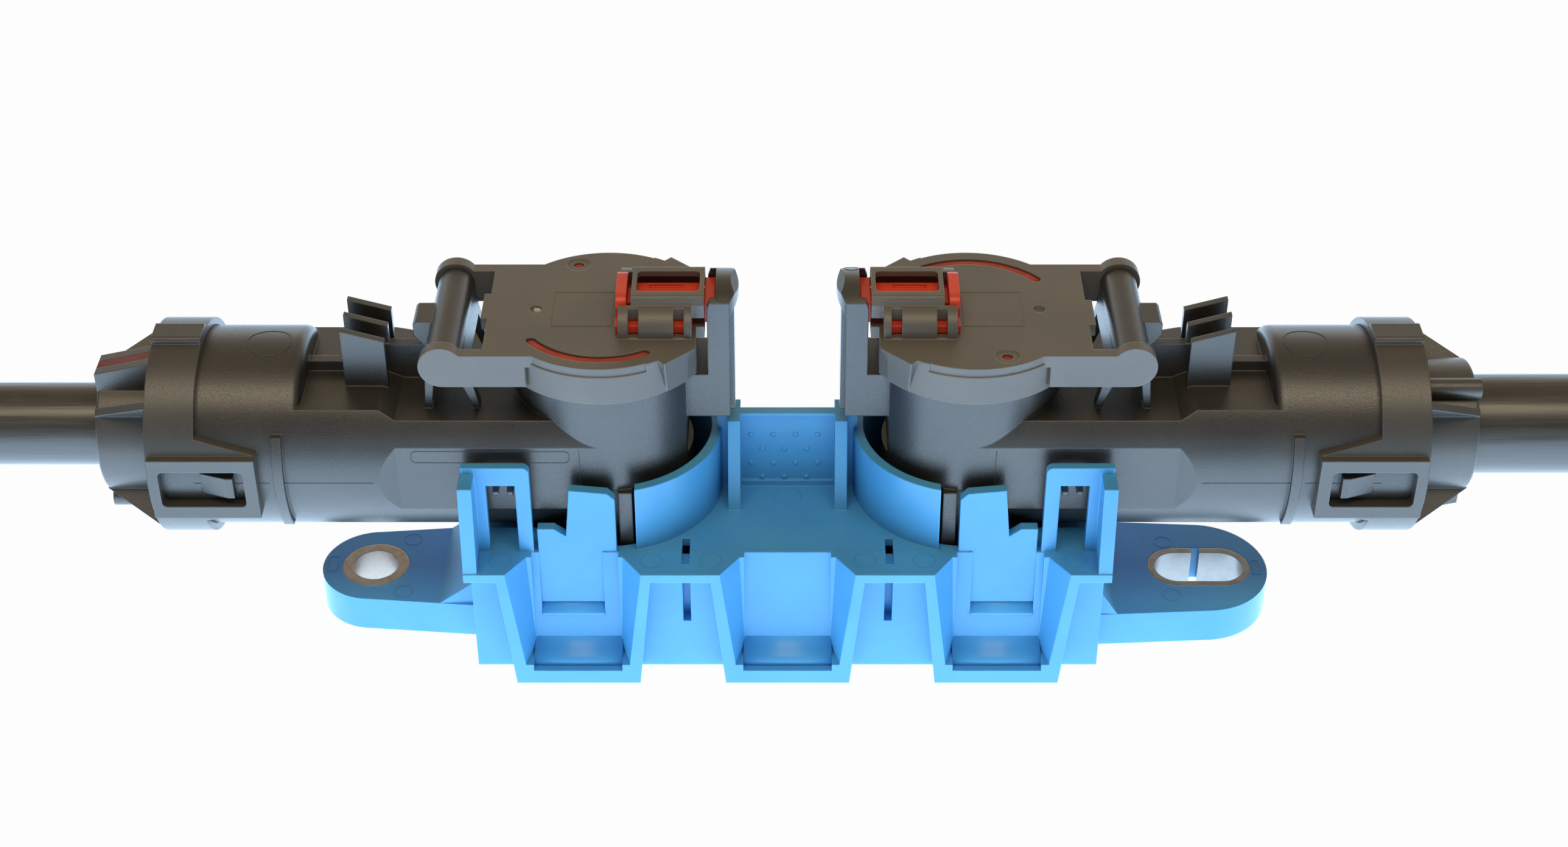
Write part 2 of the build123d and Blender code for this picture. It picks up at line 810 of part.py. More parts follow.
with BuildPart() as terminal_screw:
    head_z = washer_z + washer_t
    with BuildSketch(Plane.XY.offset(head_z - screw_len)):
        Circle(screw_r)
    extrude(amount=screw_len)
    with BuildSketch(Plane.XY.offset(head_z)):
        Circle(screw_flange_r)
    extrude(amount=screw_flange_t)
    with BuildSketch(Plane.XY.offset(head_z)):
        RegularPolygon(screw_head_flats / 2, 6, major_radius=False)
    extrude(amount=screw_head_h)
    with BuildSketch(Plane.XY.offset(head_z + screw_head_h - screw_socket_depth)):
        RegularPolygon(screw_socket_flats / 2, 6, major_radius=False)
    extrude(amount=screw_socket_depth, mode=Mode.SUBTRACT)


def make_ring_terminal(wire_r):
    """Ring terminal: flat ring, transition and a crimped barrel round the conductor."""
    with BuildPart() as terminal:
        with BuildSketch(Plane.XY.offset(tongue_z)):
            Circle(ring_r)
            with Locations((barrel_start / 2, 0)):
                Rectangle(barrel_start, neck_w)
        extrude(amount=tongue_t)
        with BuildSketch(Plane.YZ.offset(barrel_start)):
            with Locations((0, axis_z)):
                Circle(barrel_out_r)
        extrude(amount=hex_start - barrel_start)
        with BuildSketch(Plane.YZ.offset(hex_start)):
            with Locations((0, axis_z)):
                RegularPolygon(hex_flats / 2, 6, major_radius=False)
        extrude(amount=hex_len)
        with BuildSketch(Plane.YZ.offset(hex_start + hex_len)):
            with Locations((0, axis_z)):
                Circle(barrel_out_r)
        extrude(amount=barrel_start + barrel_len - hex_start - hex_len)
        with BuildSketch(Plane.XZ):
            with BuildLine():
                Polyline(
                    (ring_r, tongue_z + tongue_t),
                    (barrel_start, tongue_z + tongue_t),
                    (barrel_start, axis_z + barrel_out_r * 0.6),
                    close=True,
                )
            make_face()
        extrude(amount=barrel_out_r * 0.8, both=True)
        with BuildSketch(Plane.XY.offset(tongue_z)):
            Circle(ring_hole_r)
        extrude(amount=tongue_t, mode=Mode.SUBTRACT)
        with BuildSketch(Plane.YZ.offset(conductor_start - seat_gap)):
            with Locations((0, axis_z)):
                Circle(wire_r + seat_gap)
        extrude(amount=cut_reach, mode=Mode.SUBTRACT)
        with BuildSketch(Plane.XY.offset(axis_z)):
            with Locations((conductor_start + peep_r, 0)):
                Circle(peep_r)
        extrude(amount=cut_reach, mode=Mode.SUBTRACT)
    return terminal


def make_cable_end(jacket_r, insulation_r, wire_r):
    """Prepared end of the cable: jacket, stripped core and bare conductor."""
    with BuildPart() as cable_end:
        with BuildSketch(Plane.XZ):
            with BuildLine():
                Polyline(
                    (conductor_start, axis_z),
                    (conductor_start, axis_z + wire_r),
                    (core_start, axis_z + wire_r),
                    (core_start, axis_z + insulation_r),
                    (jacket_start, axis_z + insulation_r),
                    (jacket_start, axis_z + jacket_r),
                    (cap_end, axis_z + jacket_r),
                    (cap_end, axis_z),
                    close=True,
                )
            make_face()
        revolve(axis=Axis((0, 0, axis_z), (1, 0, 0)))
    return cable_end


def make_cable(jacket_r):
    """Free cable outside the end cap."""
    with BuildPart() as cable:
        with BuildSketch(Plane.YZ.offset(cap_end)):
            with Locations((0, axis_z)):
                Circle(jacket_r)
        extrude(amount=free_length)
    return cable


def make_ferrule(insulation_r):
    """Shield ferrule on the stripped core."""
    with BuildPart() as ferrule:
        with BuildSketch(Plane.YZ.offset(ferrule_start)):
            with Locations((0, axis_z)):
                Circle(ferrule_barrel_r)
        extrude(amount=ferrule_len)
        with BuildSketch(Plane.YZ.offset(ferrule_start)):
            with Locations((0, axis_z)):
                Circle(ferrule_r)
        extrude(amount=ferrule_collar_w)
        with BuildSketch(Plane.YZ.offset(ferrule_start)):
            with Locations((0, axis_z)):
                Circle(insulation_r + seat_gap)
        extrude(amount=ferrule_len, mode=Mode.SUBTRACT)
    return ferrule


def make_cable_seal(jacket_r):
    """Lipped ring seal between the cable and the tube."""
    with BuildPart() as seal:
        with BuildSketch(Plane.YZ.offset(seal_start)):
            with Locations((0, axis_z)):
                Circle(seal_bore_r - seat_gap - seal_lip_h)
        extrude(amount=seal_len)
        lip_pitch = (seal_len - seal_lip_w) / (seal_lips - 1)
        for lip in range(seal_lips):
            with BuildSketch(Plane.YZ.offset(seal_start + lip * lip_pitch)):
                with Locations((0, axis_z)):
                    Circle(seal_bore_r - seat_gap)
            extrude(amount=seal_lip_w)
        with BuildSketch(Plane.YZ.offset(seal_start)):
            with Locations((0, axis_z)):
                Circle(jacket_r + seat_gap)
        extrude(amount=seal_len, mode=Mode.SUBTRACT)
    return seal


def make_end_cap(jacket_r):
    """End cap that snaps over the tube and holds the cable seal."""
    with BuildPart() as cap:
        with BuildSketch(Plane.YZ.offset(cap_start)):
            with Locations((0, axis_z)):
                Circle(cap_r)
        extrude(amount=cap_face - cap_start)
        with BuildSketch(Plane.YZ.offset(cap_face)):
            with Locations((0, axis_z)):
                Circle(cap_nose_r)
        extrude(amount=cap_end - cap_face)
        nose_edge = cap.edges().filter_by(GeomType.CIRCLE).sort_by(Axis.X)[-1]
        fillet(nose_edge, radius=nose_round)
        # Side frames and the webs that lead up to them
        with BuildSketch(Plane.XZ):
            with Locations(((frame_start + frame_end) / 2, axis_z)):
                Rectangle(frame_end - frame_start, 2 * frame_rise)
        extrude(amount=frame_y, both=True)
        with BuildSketch(Plane.YZ.offset(frame_start)):
            with Locations((0, axis_z)):
                Circle(cap_r)
        extrude(amount=cap_start - frame_start)
        for rise in (-1, 1):
            with BuildSketch(Plane.XZ):
                with BuildLine():
                    Polyline(
                        (frame_start - 1, axis_z + rise * frame_rise),
                        (frame_start, axis_z + rise * frame_rise),
                        (cap_start, axis_z + rise * frame_web_rise),
                        (cap_start, axis_z + rise * cut_reach),
                        (frame_start - 1, axis_z + rise * cut_reach),
                        close=True,
                    )
                make_face()
            extrude(amount=cut_reach, both=True, mode=Mode.SUBTRACT)
        # Gussets between the nose and the collar
        for angle in gusset_angles:
            gusset_plane = Plane(
                origin=(0, 0, axis_z),
                x_dir=(1, 0, 0),
                z_dir=(0, -cos(radians(angle)), sin(radians(angle))),
            )
            with BuildSketch(gusset_plane):
                with BuildLine():
                    Polyline(
                        (cap_face, cap_nose_r - 1),
                        (cap_face, gusset_r),
                        (cap_end, cap_nose_r),
                        (cap_end, cap_nose_r - 1),
                        close=True,
                    )
                make_face()
            extrude(amount=gusset_t / 2, both=True)
        # Boss with its slot for the coloured insert
        with BuildSketch(Plane.XZ.offset(-boss_y)):
            with BuildLine():
                Polyline(
                    (cap_face, axis_z + cap_nose_r - 2),
                    (cap_face, boss_high_z),
                    (cap_end, boss_low_z),
                    (cap_end, axis_z + cap_nose_r - 2),
                    close=True,
                )
            make_face()
        extrude(amount=boss_w / 2, both=True)
        with BuildSketch(Plane.XZ.offset(-boss_y)):
            with BuildLine():
                Polyline(
                    (cap_face, boss_high_z - insert_t),
                    (cap_face, boss_high_z),
                    (cap_end, boss_low_z),
                    (cap_end, boss_low_z - insert_t),
                    close=True,
                )
            make_face()
        extrude(amount=insert_w / 2, both=True, mode=Mode.SUBTRACT)
        # Pin on the far side of the boss
        with BuildSketch(Plane.YZ.offset(cap_face)):
            with Locations(
                (
                    pin_axis_r * sin(radians(pin_angle)),
                    axis_z - pin_axis_r * cos(radians(pin_angle)),
                )
            ):
                Circle(pin_r)
        extrude(amount=cap_end - cap_face)
        # Ridge along the top and the bottom of the collar, with a notch beside it
        for rise in (-1, 1):
            ridge_z = axis_z + rise * (cap_r + ridge_h)
            with BuildSketch(Plane.YZ.offset(cap_start)) as ridge_outline:
                with Locations((0, axis_z + rise * (cap_r + ridge_h) / 2)):
                    Rectangle(ridge_w, cap_r + ridge_h)
                outer = ridge_outline.vertices().filter_by_position(
                    Axis.Y, ridge_z - 0.01, ridge_z + 0.01
                )
                fillet(outer, radius=ridge_round)
            extrude(amount=cap_face - cap_start)
            with BuildSketch(Plane.YZ.offset(cap_start)):
                with BuildLine():
                    Polyline(
                        (-ridge_w / 2, axis_z + rise * ridge_notch_r),
                        (-ridge_w / 2, axis_z + rise * (cap_r + ridge_h / 2)),
                        (-ridge_w / 2 - ridge_notch_w, axis_z + rise * (cap_r + ridge_h / 2)),
                        close=True,
                    )
                make_face()
            extrude(amount=cap_face - cap_start, mode=Mode.SUBTRACT)
        # Inside: over the tube, round the cable
        with BuildSketch(Plane.YZ.offset(frame_start - 2)):
            with Locations((0, axis_z)):
                Circle(tube_r + seat_gap)
        extrude(amount=tube_end + seat_gap - frame_start + 2, mode=Mode.SUBTRACT)
        with BuildSketch(Plane.YZ.offset(tube_end)):
            with Locations((0, axis_z)):
                Circle(jacket_r + seat_gap)
        extrude(amount=cut_reach, mode=Mode.SUBTRACT)
        # Snap windows
        with BuildSketch(Plane.XZ):
            with Locations(((window_start + window_end) / 2, axis_z)):
                RectangleRounded(window_end - window_start, 2 * window_rise, window_round)
        extrude(amount=cut_reach, both=True, mode=Mode.SUBTRACT)
    return cap


# Coloured insert in the end cap's boss
with BuildPart() as cap_insert:
    with BuildSketch(Plane.XZ.offset(-boss_y)):
        with BuildLine():
            Polyline(
                (cap_face, boss_high_z - insert_t),
                (cap_face, boss_high_z),
                (cap_end, boss_low_z),
                (cap_end, boss_low_z - insert_t),
                close=True,
            )
        make_face()
    extrude(amount=insert_w / 2 - seat_gap, both=True)

# Finger, gate post and side flange of the carrier, drawn where X and Y are positive
with BuildPart() as corner_set:
    with BuildSketch(Plane.XZ.offset(-body_y)):
        with Locations(((recess_in + recess_out) / 2, (recess_floor - wall + carrier_deck) / 2)):
            Rectangle(recess_out - recess_in + 2 * wall, carrier_deck - recess_floor + wall)
    extrude(amount=body_y - finger_y + finger_t)
    with BuildSketch(Plane.XZ.offset(-finger_y)):
        with BuildLine():
            Polyline(
                (finger_in, carrier_deck - wall),
                (finger_in, finger_top - finger_slope - finger_bevel),
                (finger_in + finger_bevel, finger_top - finger_slope),
                (finger_out, finger_top),
                (finger_out + finger_flare, finger_neck_z),
                (finger_base_in, finger_base_top),
                (finger_base_out, finger_base_top),
                (finger_base_out, carrier_deck - wall),
                close=True,
            )
        make_face()
    extrude(amount=finger_t)
    with BuildSketch(Plane.XZ.offset(-gate_post_y)) as gate_outline:
        with Locations(
            ((gate_post_in + gate_post_out) / 2, (carrier_deck - wall + gate_post_top) / 2)
        ):
            Rectangle(gate_post_out - gate_post_in, gate_post_top - carrier_deck + wall)
        fillet(gate_outline.vertices().sort_by(Axis.X)[:2].sort_by(Axis.Y)[-1:], radius=gate_round)
        with Locations(
            ((gate_window_in + gate_window_out) / 2, (carrier_deck + gate_window_high) / 2)
        ):
            Rectangle(
                gate_window_out - gate_window_in,
                gate_window_high - carrier_deck,
                mode=Mode.SUBTRACT,
            )
    extrude(amount=gate_t)
    with BuildSketch(Plane.YZ.offset(flange_in)):
        with BuildLine():
            Polyline(
                (gate_post_y - gate_t, flange_low),
                (gate_post_y - gate_t, flange_top),
                (flange_nose_y, flange_top),
                (lip_y, flange_low),
                close=True,
            )
        make_face()
    extrude(amount=flange_out - flange_in)

# Carrier
with BuildPart() as carrier:
    # Tub, open below
    with BuildSketch(Plane.XY):
        Rectangle(2 * body_x, 2 * body_y)
    extrude(amount=carrier_deck)
    with BuildSketch(Plane.XY):
        Rectangle(2 * (body_x - wall), 2 * (body_y - wall - scoop_draft))
    extrude(amount=carrier_deck - wall, mode=Mode.SUBTRACT)
    # Socket tubes and the troughs for the cable tubes
    with BuildSketch(Plane.XY):
        with Locations((-turret_x, 0), (turret_x, 0)):
            Circle(socket_r + wall)
    extrude(amount=socket_top)
    with BuildSketch(Plane.XY.offset(carrier_deck)):
        for side_x in (-1, 1):
            with Locations((side_x * (socket_open_x + cut_reach / 2), 0)):
                Rectangle(cut_reach, cut_reach)
    extrude(amount=cut_reach, mode=Mode.SUBTRACT)
    trough_len = body_x - turret_x
    for side_x in (-1, 1):
        with BuildSketch(Plane.YZ.offset(side_x * turret_x)):
            with Locations((0, axis_z)):
                Circle(trough_r + wall)
            with Locations((0, carrier_deck + cut_reach / 2)):
                Rectangle(cut_reach, cut_reach, mode=Mode.SUBTRACT)
        extrude(amount=side_x * trough_len)
    # Web between the sockets, its panel and pilasters
    with BuildSketch(Plane.XZ):
        with Locations((0, (carrier_deck - wall + web_top) / 2)):
            Rectangle(2 * web_x, web_top - carrier_deck + wall)
    extrude(amount=web_t / 2, both=True)
    for face_y in (-1, 1):
        with BuildSketch(Plane.XZ.offset(-face_y * web_t / 2)):
            with Locations((0, (web_panel_low + web_panel_high) / 2)):
                Rectangle(web_panel_w, web_panel_high - web_panel_low)
        extrude(amount=web_panel_depth * face_y, mode=Mode.SUBTRACT)
    for side_x in (-1, 1):
        with BuildSketch(Plane.YZ.offset(side_x * (pilaster_in + pilaster_out) / 2)):
            with BuildLine():
                Polyline(
                    (0, carrier_deck - wall),
                    (-pilaster_foot_y, carrier_deck - wall),
                    (-pilaster_foot_y + pilaster_lean, web_top),
                    (pilaster_foot_y - pilaster_lean, web_top),
                    (pilaster_foot_y, carrier_deck - wall),
                    close=True,
                )
            make_face()
        extrude(amount=(pilaster_out - pilaster_in) / 2, both=True)
    # Bores for turrets and tubes
    with BuildSketch(Plane.XY):
        with Locations((-turret_x, 0), (turret_x, 0)):
            Circle(socket_r)
    extrude(amount=cut_reach, mode=Mode.SUBTRACT)
    for side_x in (-1, 1):
        with BuildSketch(Plane.YZ.offset(side_x * turret_x)):
            with Locations((0, axis_z)):
                Circle(trough_r)
        extrude(amount=side_x * cut_reach, mode=Mode.SUBTRACT)
    # Fingers, gate posts and flanges, front and rear, left and right
    for corner in (corner_set.part, mirror(corner_set.part, about=Plane.YZ, mode=Mode.PRIVATE)):
        add(corner)
        mirror(corner, about=Plane.XZ)
    # Deck lips and scoops along the front and the rear
    for face_y in (-1, 1):
        with BuildSketch(Plane.XY.offset(carrier_deck - wall)):
            with Locations((0, face_y * (body_y + lip_y) / 2)):
                Rectangle(2 * flange_out, lip_y - body_y)
        extrude(amount=wall)
        for centre in scoop_centres:
            with BuildSketch(Plane.XZ.offset(-face_y * (body_y + lip_y) / 2)):
                with BuildLine():
                    Polyline(
                        (centre - scoop_top_w / 2, carrier_deck),
                        (centre - scoop_bottom_w / 2, 0),
                        (centre + scoop_bottom_w / 2, 0),
                        (centre + scoop_top_w / 2, carrier_deck),
                        close=True,
                    )
                make_face()
            extrude(amount=(lip_y - body_y) / 2, both=True)
            for depth, top_w, bottom_w in (
                (lip_y, scoop_top_w - 2 * wall, scoop_bottom_w - 2 * wall),
                (body_y, scoop_back_top_w, scoop_back_bottom_w),
            ):
                with BuildSketch(Plane.XZ.offset(-face_y * depth)):
                    with BuildLine():
                        Polyline(
                            (centre - top_w / 2, carrier_deck),
                            (centre - bottom_w / 2, scoop_floor + scoop_step),
                            (centre + bottom_w / 2, scoop_floor + scoop_step),
                            (centre + top_w / 2, carrier_deck),
                            close=True,
                        )
                    make_face()
            loft(ruled=True, mode=Mode.SUBTRACT)
            with BuildSketch(Plane.YZ.offset(centre - scoop_back_bottom_w / 2)):
                with BuildLine():
                    Polyline(
                        (face_y * body_y, scoop_floor + scoop_step),
                        (face_y * (body_y - scoop_draft), carrier_deck),
                        (face_y * body_y, carrier_deck),
                        close=True,
                    )
                make_face()
            extrude(amount=scoop_back_bottom_w, mode=Mode.SUBTRACT)
            with BuildSketch(Plane.XZ.offset(-face_y * body_y)):
                with Locations((centre, scoop_floor + scoop_step / 2)):
                    Rectangle(scoop_bottom_w - 2 * wall - 2 * scoop_step, scoop_step)
            extrude(amount=-face_y * (lip_y - body_y), mode=Mode.SUBTRACT)
        # Recesses that the fingers rise out of
        for side_x in (-1, 1):
            with BuildSketch(Plane.XZ.offset(-face_y * finger_y)):
                with Locations(
                    (side_x * (recess_in + recess_out) / 2, (recess_floor + carrier_deck) / 2)
                ):
                    Rectangle(recess_out - recess_in, carrier_deck - recess_floor)
            extrude(amount=-face_y * (lip_y - finger_y), mode=Mode.SUBTRACT)
        # Slits
        for side_x in (-1, 1):
            with BuildSketch(Plane.XZ.offset(-face_y * (body_y - wall / 2))):
                with Locations((side_x * slit_x, (slit_low + slit_high) / 2)):
                    Rectangle(slit_w, slit_high - slit_low)
            extrude(amount=wall, both=True, mode=Mode.SUBTRACT)
            with BuildSketch(Plane.XY.offset(carrier_deck - wall)):
                with Locations((side_x * slit_x, face_y * (slit_deck_in + slit_deck_out) / 2)):
                    Rectangle(slit_w, slit_deck_out - slit_deck_in)
            extrude(amount=wall, mode=Mode.SUBTRACT)
    # Mounting ears
    for side_x, ear_x, ear_y, ear_r, root_y, gusset_x, seat_r, travel in (
        (
            -1,
            round_ear_x,
            round_ear_y,
            round_ear_r,
            round_root_y,
            round_gusset_x,
            round_sleeve_r + seat_gap,
            0.0,
        ),
        (
            1,
            slot_ear_x,
            slot_ear_y,
            slot_ear_r,
            slot_root_y,
            slot_gusset_x,
            slot_sleeve_r + seat_gap,
            slot_travel,
        ),
    ):
        with BuildSketch(Plane.XY):
            with Locations((ear_x, ear_y)):
                Circle(ear_r)
            with BuildLine():
                Polyline(
                    (side_x * (body_x - wall), ear_y - root_y),
                    (ear_x, ear_y - ear_r),
                    (ear_x, ear_y + ear_r),
                    (side_x * (body_x - wall), ear_y + root_y),
                    close=True,
                )
            make_face()
        extrude(amount=ear_plate_t)
        with BuildSketch(Plane.XZ.offset(-ear_y)):
            with BuildLine():
                Polyline(
                    (side_x * (body_x - wall), ear_plate_t - 1),
                    (side_x * (body_x - wall), ear_gusset_z),
                    (side_x * flange_out, ear_gusset_z),
                    (side_x * gusset_x, ear_plate_t),
                    (side_x * gusset_x, ear_plate_t - 1),
                    close=True,
                )
            make_face()
        root_slope = (root_y - ear_r) / (abs(ear_x) - body_x + wall)
        extrude(amount=root_y - root_slope * (gusset_x - body_x + wall), both=True)
        with BuildSketch(Plane.XY):
            with Locations((ear_x, ear_y)):
                if travel:
                    SlotOverall(2 * seat_r + travel, 2 * seat_r)
                else:
                    Circle(seat_r)
        extrude(amount=ear_plate_t, mode=Mode.SUBTRACT)

# Steel sleeves in the ears
with BuildPart() as round_sleeve:
    with BuildSketch(Plane.XY):
        with Locations((round_ear_x, round_ear_y)):
            Circle(round_sleeve_r)
            Circle(sleeve_bore_r, mode=Mode.SUBTRACT)
    extrude(amount=ear_plate_t)

with BuildPart() as slotted_sleeve:
    with BuildSketch(Plane.XY):
        with Locations((slot_ear_x, slot_ear_y)):
            SlotOverall(2 * slot_sleeve_r + slot_travel, 2 * slot_sleeve_r)
            SlotOverall(2 * sleeve_bore_r + slot_travel, 2 * sleeve_bore_r, mode=Mode.SUBTRACT)
        with Locations((slot_ear_x, slot_ear_y + slot_sleeve_r)):
            Rectangle(sleeve_split, 2 * (slot_sleeve_r - sleeve_bore_r) + 1, mode=Mode.SUBTRACT)
    extrude(amount=ear_plate_t)


def export(solid, name):
    """Write one finished piece to its own file."""
    solid.label = name
    export_step(solid, f"parts/{name}.step")


export(carrier.part, "carrier")
export(round_sleeve.part, "round_sleeve")
export(slotted_sleeve.part, "slotted_sleeve")

sides = {"left": Location((-turret_x, 0, 0), (0, 0, 180)), "right": Location((turret_x, 0, 0))}
for side, place in sides.items():
    # The right end cap is pushed on upside down
    turn = 0 if side == "left" else 180
    cable_axis = Axis((0, 0, axis_z), (1, 0, 0))
    connector = {
        "housing": housing,
        "lid": lid,
        "lid_seal": lid_seal,
        "locking_slide": locking_slide,
        "cable_seal": make_cable_seal(cable_r[side]),
        "shield_ferrule": make_ferrule(core_r[side]),
        "cable": make_cable(cable_r[side]),
        "cable_end": make_cable_end(cable_r[side], core_r[side], conductor_r[side]),
        "ring_terminal": make_ring_terminal(conductor_r[side]),
        "terminal_screw": terminal_screw,
        "washer": washer,
        "contact_socket": contact_socket,
        "interface_seal": interface_seal,
    }
    for name, piece in connector.items():
        export(piece.part.moved(place), f"{side}_{name}")
    for name, piece in (("end_cap", make_end_cap(cable_r[side])), ("cap_insert", cap_insert)):
        export(piece.part.rotate(cable_axis, turn).moved(place), f"{side}_{name}")
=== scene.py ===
from itertools import product
from math import cos, pi, radians, sin

import bmesh
import bpy
from mathutils import Matrix, Vector


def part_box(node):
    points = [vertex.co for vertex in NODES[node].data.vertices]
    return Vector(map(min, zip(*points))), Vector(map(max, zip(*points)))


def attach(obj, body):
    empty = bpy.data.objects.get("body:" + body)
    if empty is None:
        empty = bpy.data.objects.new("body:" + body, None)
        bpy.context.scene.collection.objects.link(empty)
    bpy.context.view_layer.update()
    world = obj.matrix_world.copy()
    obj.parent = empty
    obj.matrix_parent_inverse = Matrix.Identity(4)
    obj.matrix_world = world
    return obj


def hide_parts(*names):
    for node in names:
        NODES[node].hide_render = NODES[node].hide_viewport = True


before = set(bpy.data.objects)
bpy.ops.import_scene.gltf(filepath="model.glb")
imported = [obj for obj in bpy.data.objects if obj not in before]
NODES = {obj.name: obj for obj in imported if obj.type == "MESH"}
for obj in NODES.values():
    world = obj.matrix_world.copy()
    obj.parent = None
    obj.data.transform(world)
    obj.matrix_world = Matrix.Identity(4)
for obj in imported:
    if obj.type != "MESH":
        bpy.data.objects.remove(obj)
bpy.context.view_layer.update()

bl_info = {
    "name": "Angled Cable Connector Pair",
    "version": (1, 0, 0),
    "blender": (4, 5, 0),
    "location": "View3D > Sidebar > Connector",
    "description": "Dresses two angled power connectors in their carrier",
    "category": "Object",
}

MM = 0.001
ROOT = "carrier_and_housings"
SIGN = {"left": -1, "right": 1}
WHITE = (1.0, 1.0, 1.0, 1.0)


def middle(piece):
    """Centre of a CAD node's box, in metres."""
    low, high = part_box(piece)
    return (Vector(low) + Vector(high)) / 2


TURRET_X = middle("right_interface_seal").x
CABLE_Z = middle("right_cable").z
CABLE_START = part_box("right_cable")[0][0]
CABLE_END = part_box("right_cable")[1][0]


def cable_diameter(side):
    """Outer diameter of one free cable, from its CAD node."""
    low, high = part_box(f"{side}_cable")
    return high[2] - low[2]


def placed(x, y, z):
    """A point of the row frame, given in millimetres, in metres."""
    return x * MM, y * MM, z * MM


def at(side, x, y, z):
    """A point of one connector's own frame, in millimetres, as a place in the row frame in metres.
    Its x runs from the turret axis along the cable, and the left connector is turned half round."""
    sign = SIGN[side]
    return Vector((sign * (TURRET_X + x * MM), sign * y * MM, z * MM))


def linked(name, data):
    """A new object of the scene, at the origin, for a mesh or other data."""
    made = bpy.data.objects.new(name, data)
    bpy.context.scene.collection.objects.link(made)
    return made


# Settings that a user would change


def colour(name, description, default):
    """A colour property with three channels."""
    return bpy.props.FloatVectorProperty(
        name=name, description=description, subtype="COLOR", size=3, min=0.0, max=1.0,
        default=default,
    )


def length(name, description, default):
    """A length property in metres."""
    return bpy.props.FloatProperty(
        name=name, description=description, subtype="DISTANCE", unit="LENGTH", min=0.0,
        default=default, precision=6,
    )


def share(name, description, default):
    """A factor from 0 to 1."""
    return bpy.props.FloatProperty(
        name=name, description=description, subtype="FACTOR", min=0.0, max=1.0, default=default
    )


def amount(name, description, default, least=0.0):
    """A number with a lower limit."""
    return bpy.props.FloatProperty(name=name, description=description, default=default, min=least)


class ConnectorPlastics(bpy.types.PropertyGroup):
    """Colours and grain of the moulded pieces."""

    carrier: colour("Carrier", "Blue of the carrier", (0.072, 0.355, 0.72))
    housing: colour("Housing", "Glass-filled black of the housings", (0.020, 0.019, 0.017))
    lid: colour("Lid", "Smoother black of the lids", (0.108, 0.101, 0.091))
    cap: colour("End cap", "Black of the end caps", (0.045, 0.042, 0.038))
    torn: colour("Torn gate", "Pale break of the lid's gate", (0.42, 0.39, 0.34))
    slide: colour("Slide", "Red of the locking slides", (0.66, 0.055, 0.022))
    seal: colour("Seal", "Red of the silicone seals", (0.40, 0.050, 0.030))
    insert: colour("Insert", "Dark red of the strip in the end cap", (0.16, 0.018, 0.014))
    jacket: colour("Jacket", "Black of the cable jackets", (0.034, 0.029, 0.024))
    grain: length("Grain", "Size of the moulded grain", 0.00022)
    edge: length("Edge", "Radius at which edges catch the light", 0.00028)


class ConnectorMetals(bpy.types.PropertyGroup):
    """Colours of the metal pieces."""

    sleeve: colour("Round sleeve", "Turned steel of the round sleeve", (0.40, 0.34, 0.29))
    rolled: colour("Slotted sleeve", "Rolled, zinc-plated steel", (0.29, 0.28, 0.27))
    screw: colour("Screw", "Zinc-plated steel of screws and washers", (0.58, 0.58, 0.57))
    tin: colour("Tin", "Tin plating of the ring terminals and strands", (0.70, 0.68, 0.65))
    silver: colour("Silver", "Silver plating of the contact sockets", (0.83, 0.81, 0.77))
    ferrule: colour("Ferrule", "Brass of the shield ferrules", (0.62, 0.46, 0.20))


class ConnectorMarks(bpy.types.PropertyGroup):
    """Sizes of the marks that the moulds leave, and of the wires in the cables."""

    bead: length("Bead", "Radius of the raised lines", 0.00007)
    pip: length("Pip", "Radius of the pips on the web panel", 0.00048)
    pip_pitch: length("Pip pitch", "Distance between two pips of a row", 0.00346)
    pip_rise: length("Pip row pitch", "Distance between two rows of pips", 0.00272)
    strand: length("Strand", "Radius of one strand of the conductor", 0.00026)
    braid_wire: length("Braid wire", "Radius of one wire of the braided shield", 0.00022)


class ConnectorStudio(bpy.types.PropertyGroup):
    """Camera, light and floor."""

    eye: bpy.props.FloatVectorProperty(
        name="Eye", description="Place of the camera", subtype="TRANSLATION", size=3,
        default=(-0.00055, -0.3155, 0.2624),
    )
    tilt: bpy.props.FloatProperty(
        name="Tilt", description="How far the camera is raised from looking straight down",
        subtype="ANGLE", default=radians(54.0),
    )
    lens: amount("Lens", "Focal length on a sensor 36 mm wide, in millimetres", 57.72, 1.0)
    key: amount("Key", "Power of the front light in watts", 0.75)
    top: amount("Top", "Power of the top light in watts", 3.0)
    rear: amount("Rear", "Power of the rear light in watts", 1.4)
    sky: share("Sky", "Level of the light from all round", 0.8)
    glow: share("Glow", "How much of the floor's own shadow is lit away for the camera", 0.975)
    table: amount("Table", "Level of the light that comes up from the floor", 3.2)


# Nodes


def fresh_tree(owner):
    """The emptied node tree of a material or world."""
    owner.use_nodes = True
    owner.node_tree.nodes.clear()
    return owner.node_tree


def feed(tree, sockets, feeds):
    """Joins each named input to a socket, or sets it to a value."""
    for name, value in feeds.items():
        if isinstance(value, bpy.types.NodeSocket):
            tree.links.new(value, sockets[name])
        else:
            sockets[name].default_value = value


def node(tree, kind, feeds=None, **settings):
    """A new node with its settings, and its inputs fed."""
    made = tree.nodes.new(kind)
    for name, value in settings.items():
        setattr(made, name, value)
    feed(tree, made.inputs, feeds or {})
    return made


def calculate(tree, operation, first, second):
    """One Math node, its two values each a socket or a number."""
    made = node(tree, "ShaderNodeMath", {0: first, 1: second}, operation=operation)
    return made.outputs["Value"]


def distance_from_origin(tree, spot):
    """How far a place is from the origin."""
    return node(tree, "ShaderNodeVectorMath", {0: spot}, operation="LENGTH").outputs["Value"]


